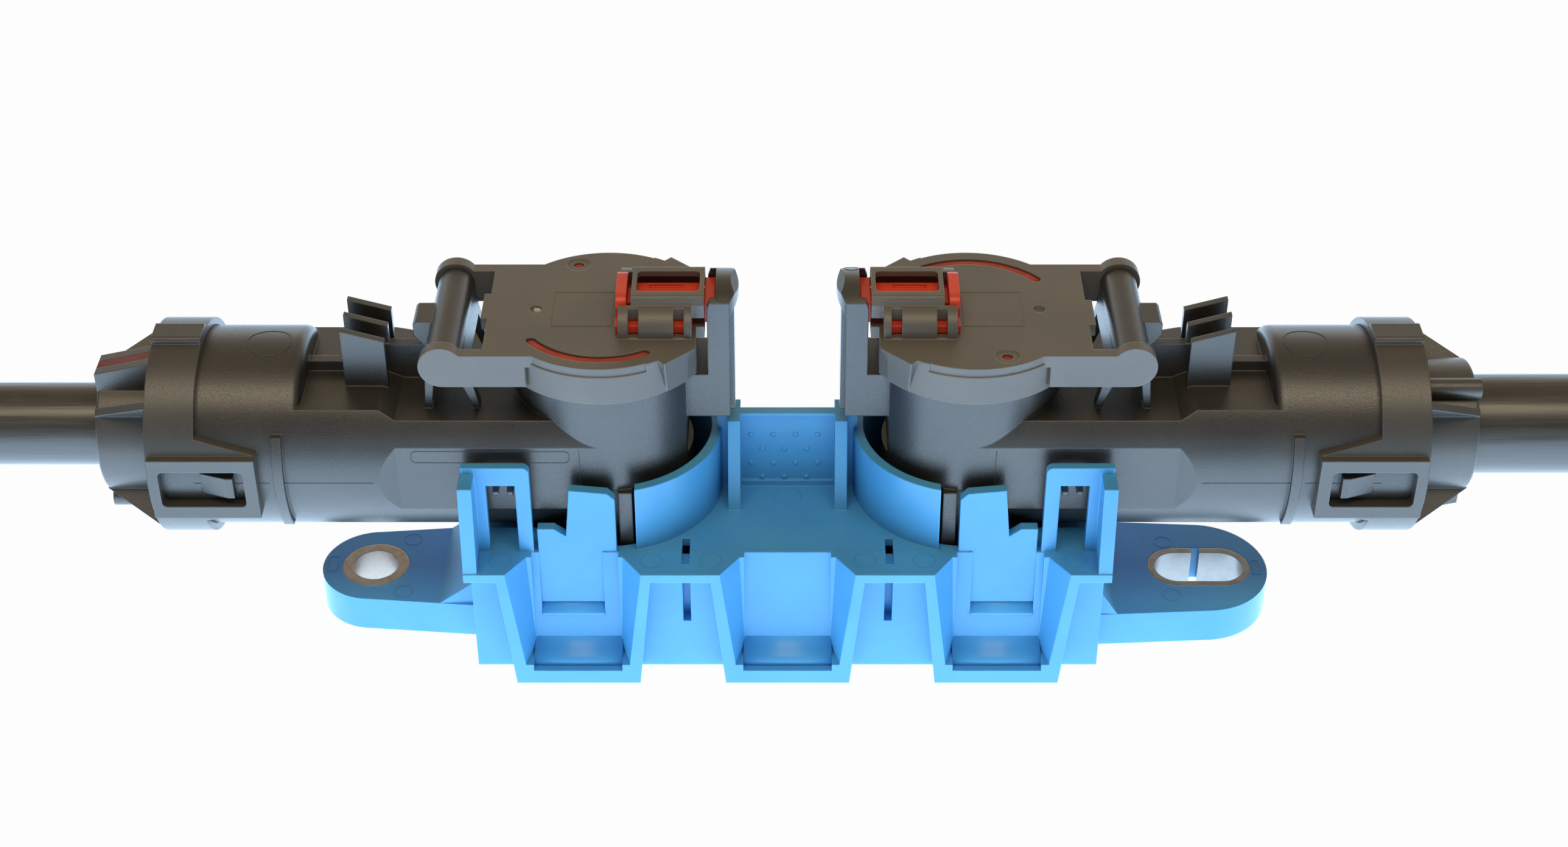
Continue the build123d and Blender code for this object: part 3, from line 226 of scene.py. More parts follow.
def map_range(tree, source, start, end, low, high):
    """The source's range from start to end, spread from low to high."""
    feeds = {"From Min": start, "From Max": end, "To Min": low, "To Max": high, "Value": source}
    return node(tree, "ShaderNodeMapRange", feeds).outputs["Result"]


def mix_colours(tree, factor, first, second):
    """A colour between two, each a socket or four numbers."""
    made = node(tree, "ShaderNodeMix", data_type="RGBA")
    feed(tree, made.inputs, {"Factor": factor, 6: first, 7: second})
    return made.outputs[2]


# Materials

# Sizes of their patterns and depths of their relief, in metres
MOTTLE_SIZE = 0.011
BLOOM_SIZE = 0.004
DUST_SIZE = 0.0004
SKIN_SIZE = 0.0003
STREAK_SIZE = 0.02
SCUFF_SIZE = 0.0035
SCRATCH_SIZE = 0.00018
STREAK_DEPTH = 0.00004
SKIN_DEPTH = 0.00002

# The dot product of the true and the rounded normal, from a clear edge to a flat face
EDGE_DOT, FLAT_DOT = 0.78, 0.99
EDGE_SAMPLES = 6

# Shares of the grain's size: how fine the glass fibres are, and how deep the grain is
FIBRE_SHARE, GRAIN_DEPTH_SHARE = 0.6, 0.09
DRAWN = (1.0, 24.0, 24.0)  # narrows the jacket's pattern into streaks along X


class Shader:
    """One node material, with short ways to add and join its nodes."""

    def __init__(self, name):
        self.material = bpy.data.materials.new(name)
        self.tree = fresh_tree(self.material)
        self.surface = node(self.tree, "ShaderNodeBsdfPrincipled")
        node(self.tree, "ShaderNodeOutputMaterial", {"Surface": self.surface.outputs["BSDF"]})
        self.place = node(self.tree, "ShaderNodeTexCoord").outputs["Object"]

    def stretched(self, scale):
        """Object coordinates, scaled along each axis."""
        feeds = {"Scale": scale, "Vector": self.place}
        return node(self.tree, "ShaderNodeMapping", feeds).outputs["Vector"]

    def noise(self, size, detail=2.0, place=None):
        """Noise whose features are about so large, in metres."""
        feeds = {"Scale": 1.0 / size, "Detail": detail, "Vector": place or self.place}
        return node(self.tree, "ShaderNodeTexNoise", feeds).outputs["Fac"]

    def spread(self, source, low=0.0, high=1.0, start=0.3, end=0.7):
        """The source's range from start to end, spread from low to high."""
        return map_range(self.tree, source, start, end, low, high)

    def mix(self, factor, first, second):
        """A colour between two, each a socket or three numbers."""
        first, second = (
            tint if isinstance(tint, bpy.types.NodeSocket) else (*tint, 1.0)
            for tint in (first, second)
        )
        return mix_colours(self.tree, factor, first, second)

    def edges(self, radius):
        """(normal rounded over the edges, how much of an edge a place is, from 0 to 1)."""
        bevel = node(self.tree, "ShaderNodeBevel", {"Radius": radius}, samples=EDGE_SAMPLES)
        rounded = bevel.outputs["Normal"]
        true = node(self.tree, "ShaderNodeNewGeometry").outputs["Normal"]
        dot = node(
            self.tree, "ShaderNodeVectorMath", {0: rounded, 1: true}, operation="DOT_PRODUCT"
        )
        return rounded, self.spread(dot.outputs["Value"], 1.0, 0.0, EDGE_DOT, FLAT_DOT)

    def bump(self, height, depth, **normal):
        """Relief so deep in metres, on top of a Normal where one is given."""
        feeds = {"Distance": depth, "Strength": 1.0, "Height": height, **normal}
        return node(self.tree, "ShaderNodeBump", feeds).outputs["Normal"]

    def dressed(self, feeds):
        """The finished material, with the inputs of its surface fed."""
        feed(self.tree, self.surface.inputs, feeds)
        return self.material


def lighter(base, factor):
    """The colour, brighter or darker by a factor, up to 1."""
    return tuple(min(1.0, channel * factor) for channel in base)


def warmer(base, warmth):
    """The colour with more red and less blue."""
    return (base[0] * (1 + warmth), base[1], base[2] * (1 - warmth))


def moulded_plastic(
    name, base, roughness, grain, edge, glass=0.0, mottle=0.35, wear=1.6, specular=0.5
):
    """Moulded plastic: slow mottle, fine grain, glass-fibre speckle, and rounded edges that catch
    light and are painted lighter as a highlight.
    """
    shader = Shader(name)
    rounded, rim = shader.edges(edge)
    dull = lighter(base, 1.0 - mottle * 0.5)
    clear = warmer(lighter(base, 1.0 + mottle), 0.08)
    toned = shader.mix(shader.spread(shader.noise(MOTTLE_SIZE, 3.0)), dull, clear)
    if glass:
        fibres = shader.noise(grain * FIBRE_SHARE, 1.0)
        speckle = shader.spread(fibres, 0.0, glass, start=0.56, end=0.74)
        toned = shader.mix(speckle, toned, warmer(lighter(base, 3.0), 0.15))
    fine = shader.noise(grain)
    return shader.dressed({
        # Painted highlight: the base colour is made lighter along the edges
        "Base Color": shader.mix(rim, toned, lighter(base, wear)),
        "Roughness": shader.spread(fine, roughness - 0.06, roughness + 0.07),
        "Specular IOR Level": specular,
        "Normal": shader.bump(fine, grain * GRAIN_DEPTH_SHARE, Normal=rounded),
    })


def silicone(name, base, roughness=0.55):
    """Soft matt silicone with a dusty bloom."""
    shader = Shader(name)
    bloom = shader.spread(shader.noise(BLOOM_SIZE, 3.0))
    dust = shader.noise(DUST_SIZE)
    return shader.dressed({
        "Base Color": shader.mix(bloom, lighter(base, 0.8), lighter(base, 1.25)),
        "Roughness": shader.spread(dust, roughness - 0.05, roughness + 0.1),
        "Specular IOR Level": 0.4,
        "Normal": shader.bump(shader.noise(SKIN_SIZE), SKIN_DEPTH),
    })


def cable_jacket(name, base):
    """Extruded jacket: drawn streaks along the cable, light scuffs."""
    shader = Shader(name)
    streak = shader.noise(STREAK_SIZE, 3.0, shader.stretched(DRAWN))
    streaked = shader.mix(shader.spread(streak), lighter(base, 0.8), lighter(base, 1.35))
    scuff = shader.spread(shader.noise(SCUFF_SIZE, 4.0), 0.0, 0.5, start=0.62, end=0.8)
    return shader.dressed({
        "Base Color": shader.mix(scuff, streaked, lighter(base, 2.2)),
        "Roughness": shader.spread(streak, 0.28, 0.40),
        "Specular IOR Level": 0.95,
        "Normal": shader.bump(streak, STREAK_DEPTH),
    })


def plated_metal(name, base, roughness, edge=0.0002, worn=0.5, size=0.0016):
    """Plated or drawn metal with cloudy patches, fine scratches, and rounded edges painted lighter
    as a highlight.
    """
    shader = Shader(name)
    rounded, rim = shader.edges(edge)
    cloudy = shader.noise(size, 4.0)
    toned = shader.mix(
        shader.spread(cloudy), lighter(base, 1.0 - 0.4 * worn), lighter(base, 1.15)
    )
    return shader.dressed({
        # Painted highlight: the base colour is made lighter along the edges
        "Base Color": shader.mix(rim, toned, lighter(base, 1.35)),
        "Roughness": shader.spread(cloudy, roughness - 0.08, roughness + 0.10),
        "Metallic": 1.0,
        "Normal": shader.bump(shader.noise(SCRATCH_SIZE), SKIN_DEPTH, Normal=rounded),
    })


# Meshes from Geometry Nodes


def node_tree(name, *sockets):
    """(geometry tree, what it is given): a mesh, the named inputs and a material."""
    tree = bpy.data.node_groups.new(name, "GeometryNodeTree")
    for way in ("INPUT", "OUTPUT"):
        tree.interface.new_socket("Geometry", in_out=way, socket_type="NodeSocketGeometry")
    for socket_name, kind, value in sockets:
        socket = tree.interface.new_socket(
            socket_name, in_out="INPUT", socket_type=f"NodeSocket{kind}"
        )
        socket.default_value = value
    tree.interface.new_socket("Material", in_out="INPUT", socket_type="NodeSocketMaterial")
    return tree, node(tree, "NodeGroupInput").outputs


def finish_tree(tree, geometry, given):
    """The end of every tree: real geometry with its material."""
    real = node(tree, "GeometryNodeRealizeInstances", {"Geometry": geometry})
    feeds = {"Geometry": real.outputs["Geometry"], "Material": given["Material"]}
    painted = node(tree, "GeometryNodeSetMaterial", feeds)
    node(tree, "NodeGroupOutput", {"Geometry": painted.outputs["Geometry"]})
    return tree


def copies_on(tree, points, instance, **more):
    """Copies of a mesh at the points of another one."""
    feeds = {"Points": points, "Instance": instance, **more}
    return node(tree, "GeometryNodeInstanceOnPoints", feeds).outputs["Instances"]


def round_dot(tree, given, segments, rings):
    """A ball with the tree's dot radius."""
    feeds = {"Segments": segments, "Rings": rings, "Radius": given["Dot Radius"]}
    return node(tree, "GeometryNodeMeshUVSphere", feeds).outputs["Mesh"]


def staggered_dots_tree():
    """Flattened round dots in rows, each second row shifted by half a pitch, within a reach."""
    tree, given = node_tree(
        "staggered dots",
        ("Columns", "Int", 4),
        ("Rows", "Int", 4),
        ("Pitch", "Float", 0.003),
        ("Row Pitch", "Float", 0.003),
        ("Reach", "Float", 1.0),
        ("Dot Radius", "Float", 0.0005),
        ("Dot Height", "Float", 0.0003),
    )

    def maths(operation, first, second):
        return calculate(tree, operation, first, second)

    wide = maths("MULTIPLY", maths("SUBTRACT", given["Columns"], 1.0), given["Pitch"])
    tall = maths("MULTIPLY", maths("SUBTRACT", given["Rows"], 1.0), given["Row Pitch"])
    feeds = {
        "Size X": wide, "Size Y": tall, "Vertices X": given["Columns"], "Vertices Y": given["Rows"]
    }
    grid = node(tree, "GeometryNodeMeshGrid", feeds).outputs["Mesh"]
    spot = node(tree, "GeometryNodeInputPosition").outputs["Position"]
    split = node(tree, "ShaderNodeSeparateXYZ", {"Vector": spot}).outputs
    from_top = maths("SUBTRACT", maths("DIVIDE", tall, 2.0), split["Y"])
    row = maths("ROUND", maths("DIVIDE", from_top, given["Row Pitch"]), 0.0)
    odd = maths("MODULO", row, 2.0)
    shift = maths("MULTIPLY", maths("MULTIPLY", odd, given["Pitch"]), 0.5)
    offset = node(tree, "ShaderNodeCombineXYZ", {"X": shift}).outputs["Vector"]
    moved = node(tree, "GeometryNodeSetPosition", {"Geometry": grid, "Offset": offset})
    # What the shift pushed past the last column, or lies beyond the reach, goes
    edge = maths("ADD", maths("DIVIDE", wide, 2.0), maths("MULTIPLY", given["Pitch"], 0.1))
    past_edge = maths("GREATER_THAN", split["X"], edge)
    out_of_reach = maths("GREATER_THAN", distance_from_origin(tree, spot), given["Reach"])
    gone = maths("MAXIMUM", past_edge, out_of_reach)
    feeds = {"Geometry": moved.outputs["Geometry"], "Selection": gone}
    left = node(tree, "GeometryNodeDeleteGeometry", feeds, domain="POINT").outputs["Geometry"]
    flatness = maths("DIVIDE", given["Dot Height"], given["Dot Radius"])
    squeeze = node(tree, "ShaderNodeCombineXYZ", {"X": 1.0, "Y": 1.0, "Z": flatness})
    dot = round_dot(tree, given, segments=12, rings=6)
    dots = copies_on(tree, left, dot, Scale=squeeze.outputs["Vector"])
    return finish_tree(tree, dots, given)


def dot_ring_tree():
    """Round dots side by side on a circle, such as the cut wires of a braid."""
    tree, given = node_tree(
        "dot ring",
        ("Count", "Int", 48),
        ("Radius", "Float", 0.005),
        ("Dot Radius", "Float", 0.0002),
    )
    feeds = {"Vertices": given["Count"], "Radius": given["Radius"]}
    ring = node(tree, "GeometryNodeMeshCircle", feeds).outputs["Mesh"]
    dot = round_dot(tree, given, segments=8, rings=5)
    return finish_tree(tree, copies_on(tree, ring, dot), given)


def bead_tree():
    """A round bead along each edge path of the mesh that it is put on, such as a witness line."""
    tree, given = node_tree("bead", ("Bead Radius", "Float", 0.0001))
    path = node(tree, "GeometryNodeMeshToCurve", {"Mesh": given["Geometry"]})
    feeds = {"Resolution": 6, "Radius": given["Bead Radius"]}
    profile = node(tree, "GeometryNodeCurvePrimitiveCircle", feeds)
    feeds = {"Curve": path.outputs["Curve"], "Profile Curve": profile.outputs["Curve"]}
    bead = node(tree, "GeometryNodeCurveToMesh", {**feeds, "Fill Caps": True})
    return finish_tree(tree, bead.outputs["Mesh"], given)


def both_sides_tree():
    """Copies of the mesh that it is put on, in a row along X, and the row turned half round."""
    tree, given = node_tree("both sides", ("Count", "Int", 3), ("Pitch", "Float", 0.03))
    gaps = calculate(tree, "SUBTRACT", given["Count"], 1.0)
    reach = calculate(tree, "MULTIPLY", gaps, given["Pitch"])
    start_x = calculate(tree, "MULTIPLY", reach, -0.5)
    start = node(tree, "ShaderNodeCombineXYZ", {"X": start_x}).outputs["Vector"]
    step = node(tree, "ShaderNodeCombineXYZ", {"X": given["Pitch"]}).outputs["Vector"]
    feeds = {"Count": given["Count"], "Start Location": start, "Offset": step}
    row = node(tree, "GeometryNodeMeshLine", feeds).outputs["Mesh"]
    copies = copies_on(tree, row, given["Geometry"])
    feeds = {"Rotation": (0.0, 0.0, pi), "Geometry": copies}
    turned = node(tree, "GeometryNodeTransform", feeds).outputs["Geometry"]
    joined = node(tree, "GeometryNodeJoinGeometry")
    for half in (copies, turned):
        tree.links.new(half, joined.inputs["Geometry"])
    return finish_tree(tree, joined.outputs["Geometry"], given)


TREES = {}


def grown(name, tree_maker, values, paths=(), turn=Matrix.Identity(4), solid=((), ())):
    """A plain mesh object grown by a geometry tree from edge paths or a solid's (points, faces)."""
    if tree_maker not in TREES:
        TREES[tree_maker] = tree_maker()
    tree = TREES[tree_maker]
    vertices, edges = [tuple(p) for p in solid[0]], []
    for points, closed in paths:
        first = len(vertices)
        vertices += [tuple(p) for p in points]
        edges += [(first + i, first + i + 1) for i in range(len(points) - 1)]
        if closed:
            edges.append((first + len(points) - 1, first))
    seed = bpy.data.meshes.new(f"{name}_seed")
    seed.from_pydata(vertices, edges, solid[1])
    grower = linked(f"{name}_grower", seed)
    modifier = grower.modifiers.new("grow", "NODES")
    modifier.node_group = tree
    for socket in tree.interface.items_tree:
        if socket.in_out == "INPUT" and socket.name in values:
            modifier[socket.identifier] = values[socket.name]
    grower.update_tag()
    depsgraph = bpy.context.evaluated_depsgraph_get()
    mesh = bpy.data.meshes.new_from_object(grower.evaluated_get(depsgraph), depsgraph=depsgraph)
    bpy.data.objects.remove(grower)
    bpy.data.meshes.remove(seed)
    mesh.transform(turn)
    return new_piece(name, mesh, values["Material"])


def new_piece(name, mesh, material, smooth=True):
    """A scene object for a finished mesh, at the origin, with one material."""
    mesh.name = name
    mesh.materials.clear()
    mesh.materials.append(material)
    for face in mesh.polygons:
        face.use_smooth = smooth
        face.material_index = 0
    return linked(name, mesh)


def shaped(name, shape, material, smooth=True):
    """A piece made of a bmesh, with its faces turned outwards."""
    bmesh.ops.recalc_face_normals(shape, faces=shape.faces)
    mesh = bpy.data.meshes.new(name)
    shape.to_mesh(mesh)
    shape.free()
    return new_piece(name, mesh, material, smooth)


def seated(piece, body):
    """The piece rides on its body."""
    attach(piece, body)
    return piece


def raised_lines(name, paths, finish_name, body, thinned=1.0):
    """The raised lines that a mould leaves along paths, as one seated piece."""
    radius = bpy.context.scene.connector_marks.bead * thinned
    values = {"Bead Radius": radius, "Material": finish(finish_name)}
    return seated(grown(name, bead_tree, values, paths), body)


# Outlines

CORNER_STEPS = 5
RING_STEPS = 32


def arc(centre, radius, start, end, count):
    """Points of a circular arc in a plane, its angles in degrees."""
    angles = [radians(start + (end - start) / count * i) for i in range(count + 1)]
    return [(centre[0] + radius * cos(a), centre[1] + radius * sin(a)) for a in angles]


def circle(centre, radius, count=RING_STEPS):
    """Points of a whole circle in a plane."""
    return arc(centre, radius, 0, 360, count)[:-1]


def rounded_frame(left, right, low, high, radius):
    """Points of a rectangle with round corners."""
    corners = ((right, high, 0), (left, high, 90), (left, low, 180), (right, low, 270))
    points = []
    for x, y, start in corners:
        inset_x = x - radius if x == right else x + radius
        inset_y = y - radius if y == high else y + radius
        points += arc((inset_x, inset_y), radius, start, start + 90, CORNER_STEPS)
    return points


def prism(profile, half_width):
    """(points, faces) of a bar along X, with its section in Y and Z in millimetres."""
    count = len(profile)
    points = [placed(x, y, z) for x in (-half_width, half_width) for y, z in profile]
    faces = [(i, (i + 1) % count, count + (i + 1) % count, count + i) for i in range(count)]
    return points, [*faces, tuple(range(count))[::-1], tuple(range(count, 2 * count))]


# Stage

FLOOR_REACH = 2.5
FLOOR_Z = -0.00004  # just under the object, so that no face lies in another
FLOOR_PAINT = (0.80, 0.88, 0.94, 1.0)
GLOW_TINT = (0.62, 0.84, 1.08)
GLOW_NEAR, GLOW_FAR = 0.15, 0.60  # the glow fades between these distances in metres
GLOW_LEFT = 0.12  # share of the glow that is left far away
# Half length and width of the floor that the carrier covers, in metres
COVERED_X, COVERED_Y = 0.048, 0.0182

# (sine of the height, colour) of the room's light, from the horizon up
LOW_SKY = (0.06, (0.30, 0.38, 0.45, 1.0))
WARM_SKY = (0.30, (0.62, 0.50, 0.34, 1.0))
ZENITH = (0.90, (0.30, 0.25, 0.17, 1.0))
FRONT_SHARE, REAR_SHARE = 0.25, 1.25  # the room in front is darker than the one behind
GLOSSY_SHARE = 0.08  # how much of the white backdrop glossy faces mirror

AIM = Vector((0.0, 0.0, 0.03))
# Name, setting with its power, colour, size and place of each lamp
LAMPS = (
    ("key_light", "key", (0.70, 0.90, 1.0), (1.2, 0.35), (0.0, -0.85, 0.14)),
    ("top_light", "top", (1.0, 0.84, 0.60), (0.9, 0.3), (0.0, -0.28, 0.75)),
    ("rear_light", "rear", (0.85, 0.94, 1.0), (1.2, 0.3), (0.0, 0.85, 0.16)),
)


class CONNECTOR_OT_stage(bpy.types.Operator):
    """Glowing floor, warm room light and the camera at the photograph's viewing angle."""

    bl_idname = "connector.make_stage"
    bl_label = "Make the stage"

    def execute(self, context):
        studio = context.scene.connector_studio
        self.make_floor(studio)
        self.make_sky(context, studio)
        for name, power, tint, size, place in LAMPS:
            self.make_lamp(name, getattr(studio, power), tint, size, place)
        data = bpy.data.cameras.new("camera")
        data.sensor_width = 36.0
        data.lens = studio.lens
        data.clip_start = 0.01
        camera = linked("camera", data)
        camera.location = studio.eye
        camera.rotation_euler = (studio.tilt, 0.0, 0.0)
        context.scene.camera = camera
        context.scene.view_settings.view_transform = "Standard"
        return {"FINISHED"}

    def make_floor(self, studio):
        """White for the camera, and a fading blue light from below for all other rays."""
        mesh = bpy.data.meshes.new("floor")
        ways = ((-1, -1), (1, -1), (1, 1), (-1, 1))
        corners = [(x * FLOOR_REACH, y * FLOOR_REACH, FLOOR_Z) for x, y in ways]
        mesh.from_pydata(corners, [], [(0, 1, 2, 3)])
        floor = linked("floor", mesh)
        material = bpy.data.materials.new("pale floor")
        tree = fresh_tree(material)
        seen = node(tree, "ShaderNodeLightPath").outputs["Is Camera Ray"]
        glow_tint = (*(channel * studio.table for channel in GLOW_TINT), 1.0)
        spot = node(tree, "ShaderNodeNewGeometry").outputs["Position"]
        away = distance_from_origin(tree, spot)
        fade = map_range(tree, away, GLOW_NEAR, GLOW_FAR, 1.0, GLOW_LEFT)
        # There is no glow under the carrier, or it would light the carrier's slits from below
        split = node(tree, "ShaderNodeSeparateXYZ", {"Vector": spot}).outputs
        along, across = (
            calculate(tree, "DIVIDE", calculate(tree, "ABSOLUTE", split[axis], 0.0), half)
            for axis, half in (("X", COVERED_X), ("Y", COVERED_Y))
        )
        open_floor = calculate(
            tree, "GREATER_THAN", calculate(tree, "MAXIMUM", along, across), 1.0
        )
        glowing = calculate(tree, "MULTIPLY", fade, open_floor)
        feeds = {
            "Color": mix_colours(tree, seen, glow_tint, WHITE),
            "Strength": calculate(tree, "MAXIMUM", glowing, seen),
        }
        light = node(tree, "ShaderNodeEmission", feeds).outputs["Emission"]
        paint = node(tree, "ShaderNodeBsdfDiffuse", {"Color": FLOOR_PAINT}).outputs["BSDF"]
        shadow = calculate(tree, "MULTIPLY", seen, 1.0 - studio.glow)
        lit = calculate(tree, "SUBTRACT", 1.0, shadow)
        blend = node(tree, "ShaderNodeMixShader", {"Fac": lit, 1: paint, 2: light})
        node(tree, "ShaderNodeOutputMaterial", {"Surface": blend.outputs["Shader"]})
        mesh.materials.append(material)

    def make_sky(self, context, studio):
        """A white backdrop for the camera, and a dim room that is warm above for other rays."""
        world = bpy.data.worlds.new("studio")
        tree = fresh_tree(world)
        direction = node(tree, "ShaderNodeTexCoord").outputs["Generated"]
        split = node(tree, "ShaderNodeSeparateXYZ", {"Vector": direction}).outputs
        height = node(tree, "ShaderNodeValToRGB", {"Fac": split["Z"]})
        elements = height.color_ramp.elements
        for element, (position, tint) in zip(elements, (LOW_SKY, WARM_SKY)):
            element.position = position
            element.color = tint
        elements.new(ZENITH[0]).color = ZENITH[1]
        front, rear = FRONT_SHARE * studio.sky, REAR_SHARE * studio.sky
        feeds = {
            "Color": height.outputs["Color"],
            "Strength": map_range(tree, split["Y"], -0.5, 0.5, front, rear),
        }
        room = node(tree, "ShaderNodeBackground", feeds).outputs["Background"]
        shown = node(tree, "ShaderNodeBackground", {"Color": WHITE}).outputs["Background"]
        rays = node(tree, "ShaderNodeLightPath").outputs
        seen = calculate(tree, "MAXIMUM", rays["Is Camera Ray"], rays["Is Transmission Ray"])
        mirrored = calculate(tree, "MULTIPLY", rays["Is Glossy Ray"], GLOSSY_SHARE)
        feeds = {"Fac": calculate(tree, "MAXIMUM", seen, mirrored), 1: room, 2: shown}
        blend = node(tree, "ShaderNodeMixShader", feeds)
        node(tree, "ShaderNodeOutputWorld", {"Surface": blend.outputs["Shader"]})
        context.scene.world = world

    def make_lamp(self, name, power, tint, size, place):
        """A soft box that points at the object."""
        data = bpy.data.lights.new(name, "AREA")
        data.shape = "RECTANGLE"
        data.size, data.size_y = size
        data.energy = power
        data.color = tint
        lamp = linked(name, data)
        lamp.location = place
        lamp.rotation_euler = (AIM - Vector(place)).to_track_quat("-Z", "Y").to_euler()


# Finishes


def finish(name):
    """A finish of the object by its name, made on first use."""
    if name not in bpy.data.materials:
        FINISHES[name](name)
    return bpy.data.materials[name]


def plastic_finish(part, roughness, **more):
    """A maker for one moulded plastic, its colour from the settings."""

    def make(name):
        settings = bpy.context.scene.connector_plastics
        base = tuple(getattr(settings, part))
        return moulded_plastic(name, base, roughness, settings.grain, settings.edge, **more)

    return make


def soft_finish(maker, part, **more):
    """A maker for silicone or a cable jacket, its colour from the settings."""

    def make(name):
        return maker(name, tuple(getattr(bpy.context.scene.connector_plastics, part)), **more)

    return make


def metal_finish(part, roughness, **more):
    """A maker for one metal, its colour from the settings."""

    def make(name):
        base = tuple(getattr(bpy.context.scene.connector_metals, part))
        return plated_metal(name, base, roughness, **more)

    return make


FINISHES = {
    # For the plastics, the edge factor says how much lighter their edges are painted: a painted
    # highlight
    "carrier blue": plastic_finish("carrier", 0.36, mottle=0.08, wear=1.5),
    "housing black": plastic_finish(
        "housing", 0.37, glass=0.4, mottle=0.4, wear=3.2, specular=1.0
    ),
    "lid black": plastic_finish("lid", 0.46, glass=0.1, mottle=0.12, wear=2.2, specular=0.8),
    "cap black": plastic_finish("cap", 0.40, glass=0.15, mottle=0.2, wear=2.6, specular=0.95),
    "torn plastic": plastic_finish("torn", 0.6, mottle=0.3, wear=1.1),
    "slide red": plastic_finish("slide", 0.34, mottle=0.10, wear=1.2),
    "seal red": soft_finish(silicone, "seal"),
    "insert red": soft_finish(silicone, "insert", roughness=0.42),
    "jacket black": soft_finish(cable_jacket, "jacket"),
    "turned steel": metal_finish("sleeve", 0.42, worn=0.5, size=0.0008),
    "rolled zinc": metal_finish("rolled", 0.36, worn=0.4),
    "zinc steel": metal_finish("screw", 0.34, worn=0.3),
    "tin plate": metal_finish("tin", 0.36, worn=0.3),
    "silver plate": metal_finish("silver", 0.24, worn=0.25),
    "ferrule brass": metal_finish("ferrule", 0.32, worn=0.3),
}

SHARED_FINISHES = {
    "carrier": "carrier blue",
    "round_sleeve": "turned steel",
    "slotted_sleeve": "rolled zinc",
}
CONNECTOR_FINISHES = {
    "housing": "housing black",
    "lid": "lid black",
    "lid_seal": "seal red",
    "locking_slide": "slide red",
    "end_cap": "cap black",
    "cap_insert": "insert red",
    "cable_seal": "seal red",
    "shield_ferrule": "ferrule brass",
    "cable_end": "jacket black",
    "ring_terminal": "tin plate",
    "terminal_screw": "zinc steel",
    "washer": "zinc steel",
    "contact_socket": "silver plate",
    "interface_seal": "seal red",
}


# One operator for each piece or group of like pieces


class CONNECTOR_OT_finishes(bpy.types.Operator):
    """Gives each piece of the CAD frame the finish of its real material."""

    bl_idname = "connector.finish_frame"
    bl_label = "Finish the frame's pieces"

    def execute(self, context):
        painted = dict(SHARED_FINISHES)
        for side in SIGN:
            painted.update({f"{side}_{part}": name for part, name in CONNECTOR_FINISHES.items()})
        for piece, name in painted.items():
            mesh = NODES[piece].data
            mesh.materials.clear()
            mesh.materials.append(finish(name))
        return {"FINISHED"}


class CONNECTOR_OT_cables(bpy.types.Operator):
    """The two free cables, straight out of their end caps, with their cut ends."""

    bl_idname = "connector.make_cables"
    bl_label = "Make the cables"

    core_share = 0.52  # radius of the conductor over that of the cable
    braid_share = 0.80
    strand_spacing = 2.05  # in strand radii, so that two strands almost touch
    wire_spacing = 2.1
    row_share = 0.866  # rows of round strands that lie in each other's gaps
    strand_height = 0.6  # in strand radii, past the cut face

    def execute(self, context):
        for side, sign in SIGN.items():
            diameter = cable_diameter(side)
            stations = (CABLE_START, (CABLE_START + CABLE_END) / 2, CABLE_END)
            route = [Vector((sign * x, 0.0, CABLE_Z)) for x in stations]
            data = bpy.data.curves.new(f"{side}_cable_jacket", "CURVE")
            data.dimensions = "3D"
            data.bevel_depth = diameter / 2
            data.bevel_resolution = 14
            data.resolution_u = 16
            data.use_fill_caps = True
            spline = data.splines.new("NURBS")
            spline.points.add(len(route) - 1)
            for point, place in zip(spline.points, route):
                point.co = (*place, 1.0)
            spline.order_u = 3
            spline.use_endpoint_u = True
            data.materials.append(finish("jacket black"))
            cable = linked(f"{side}_cable_jacket", data)
            seated(cable, ROOT)
            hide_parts(f"{side}_cable")
            self.cut_end(side, diameter / 2, context.scene.connector_marks)
        return {"FINISHED"}

    def cut_end(self, side, outer, marks):
        """Strands and braid that show on the cut face."""
        end = Matrix.Translation((SIGN[side] * CABLE_END, 0.0, CABLE_Z))
        place = end @ Matrix.Rotation(pi / 2, 4, "Y")
        core = outer * self.core_share
        pitch = self.strand_spacing * marks.strand
        row_pitch = pitch * self.row_share
        strands = grown(
            f"{side}_strands",
            staggered_dots_tree,
            {
                "Columns": int(2 * core / pitch) + 1,
                "Rows": int(2 * core / row_pitch) + 1,
                "Pitch": pitch,
                "Row Pitch": row_pitch,
                "Reach": core,
                "Dot Radius": marks.strand,
                "Dot Height": marks.strand * self.strand_height,
                "Material": finish("tin plate"),
            },
            turn=place,
        )
        braid_radius = outer * self.braid_share
        braid = grown(
            f"{side}_braid",
            dot_ring_tree,
            {
                "Count": int(2 * pi * braid_radius / (self.wire_spacing * marks.braid_wire)),
                "Radius": braid_radius,
                "Dot Radius": marks.braid_wire,
                "Material": finish("tin plate"),
            },
            turn=place,
        )
        return [seated(piece, ROOT) for piece in (strands, braid)]


class CONNECTOR_OT_web_pips(bpy.types.Operator):
    """Staggered pips on both faces of the carrier's web panel."""

    bl_idname = "connector.make_web_pips"
    bl_label = "Make the web pips"

    centre = (-0.0005, -0.0004, 0.0273)  # of the pips on the front face
    pip_height = 0.5  # in pip radii, off the face

    def execute(self, context):
        marks = context.scene.connector_marks
        for name, turn in (("front", 0.0), ("rear", pi)):
            stand = Matrix.Rotation(turn, 4, "Z") @ Matrix.Translation(self.centre)
            pips = grown(
                f"web_pips_{name}",
                staggered_dots_tree,
                {
                    "Columns": 4,
                    "Rows": 4,
                    "Pitch": marks.pip_pitch,
                    "Row Pitch": marks.pip_rise,
                    "Reach": 1.0,
                    "Dot Radius": marks.pip,
                    "Dot Height": marks.pip * self.pip_height,
                    "Material": finish("carrier blue"),
                },
                turn=stand @ Matrix.Rotation(pi / 2, 4, "X"),
            )
            seated(pips, ROOT)
        return {"FINISHED"}


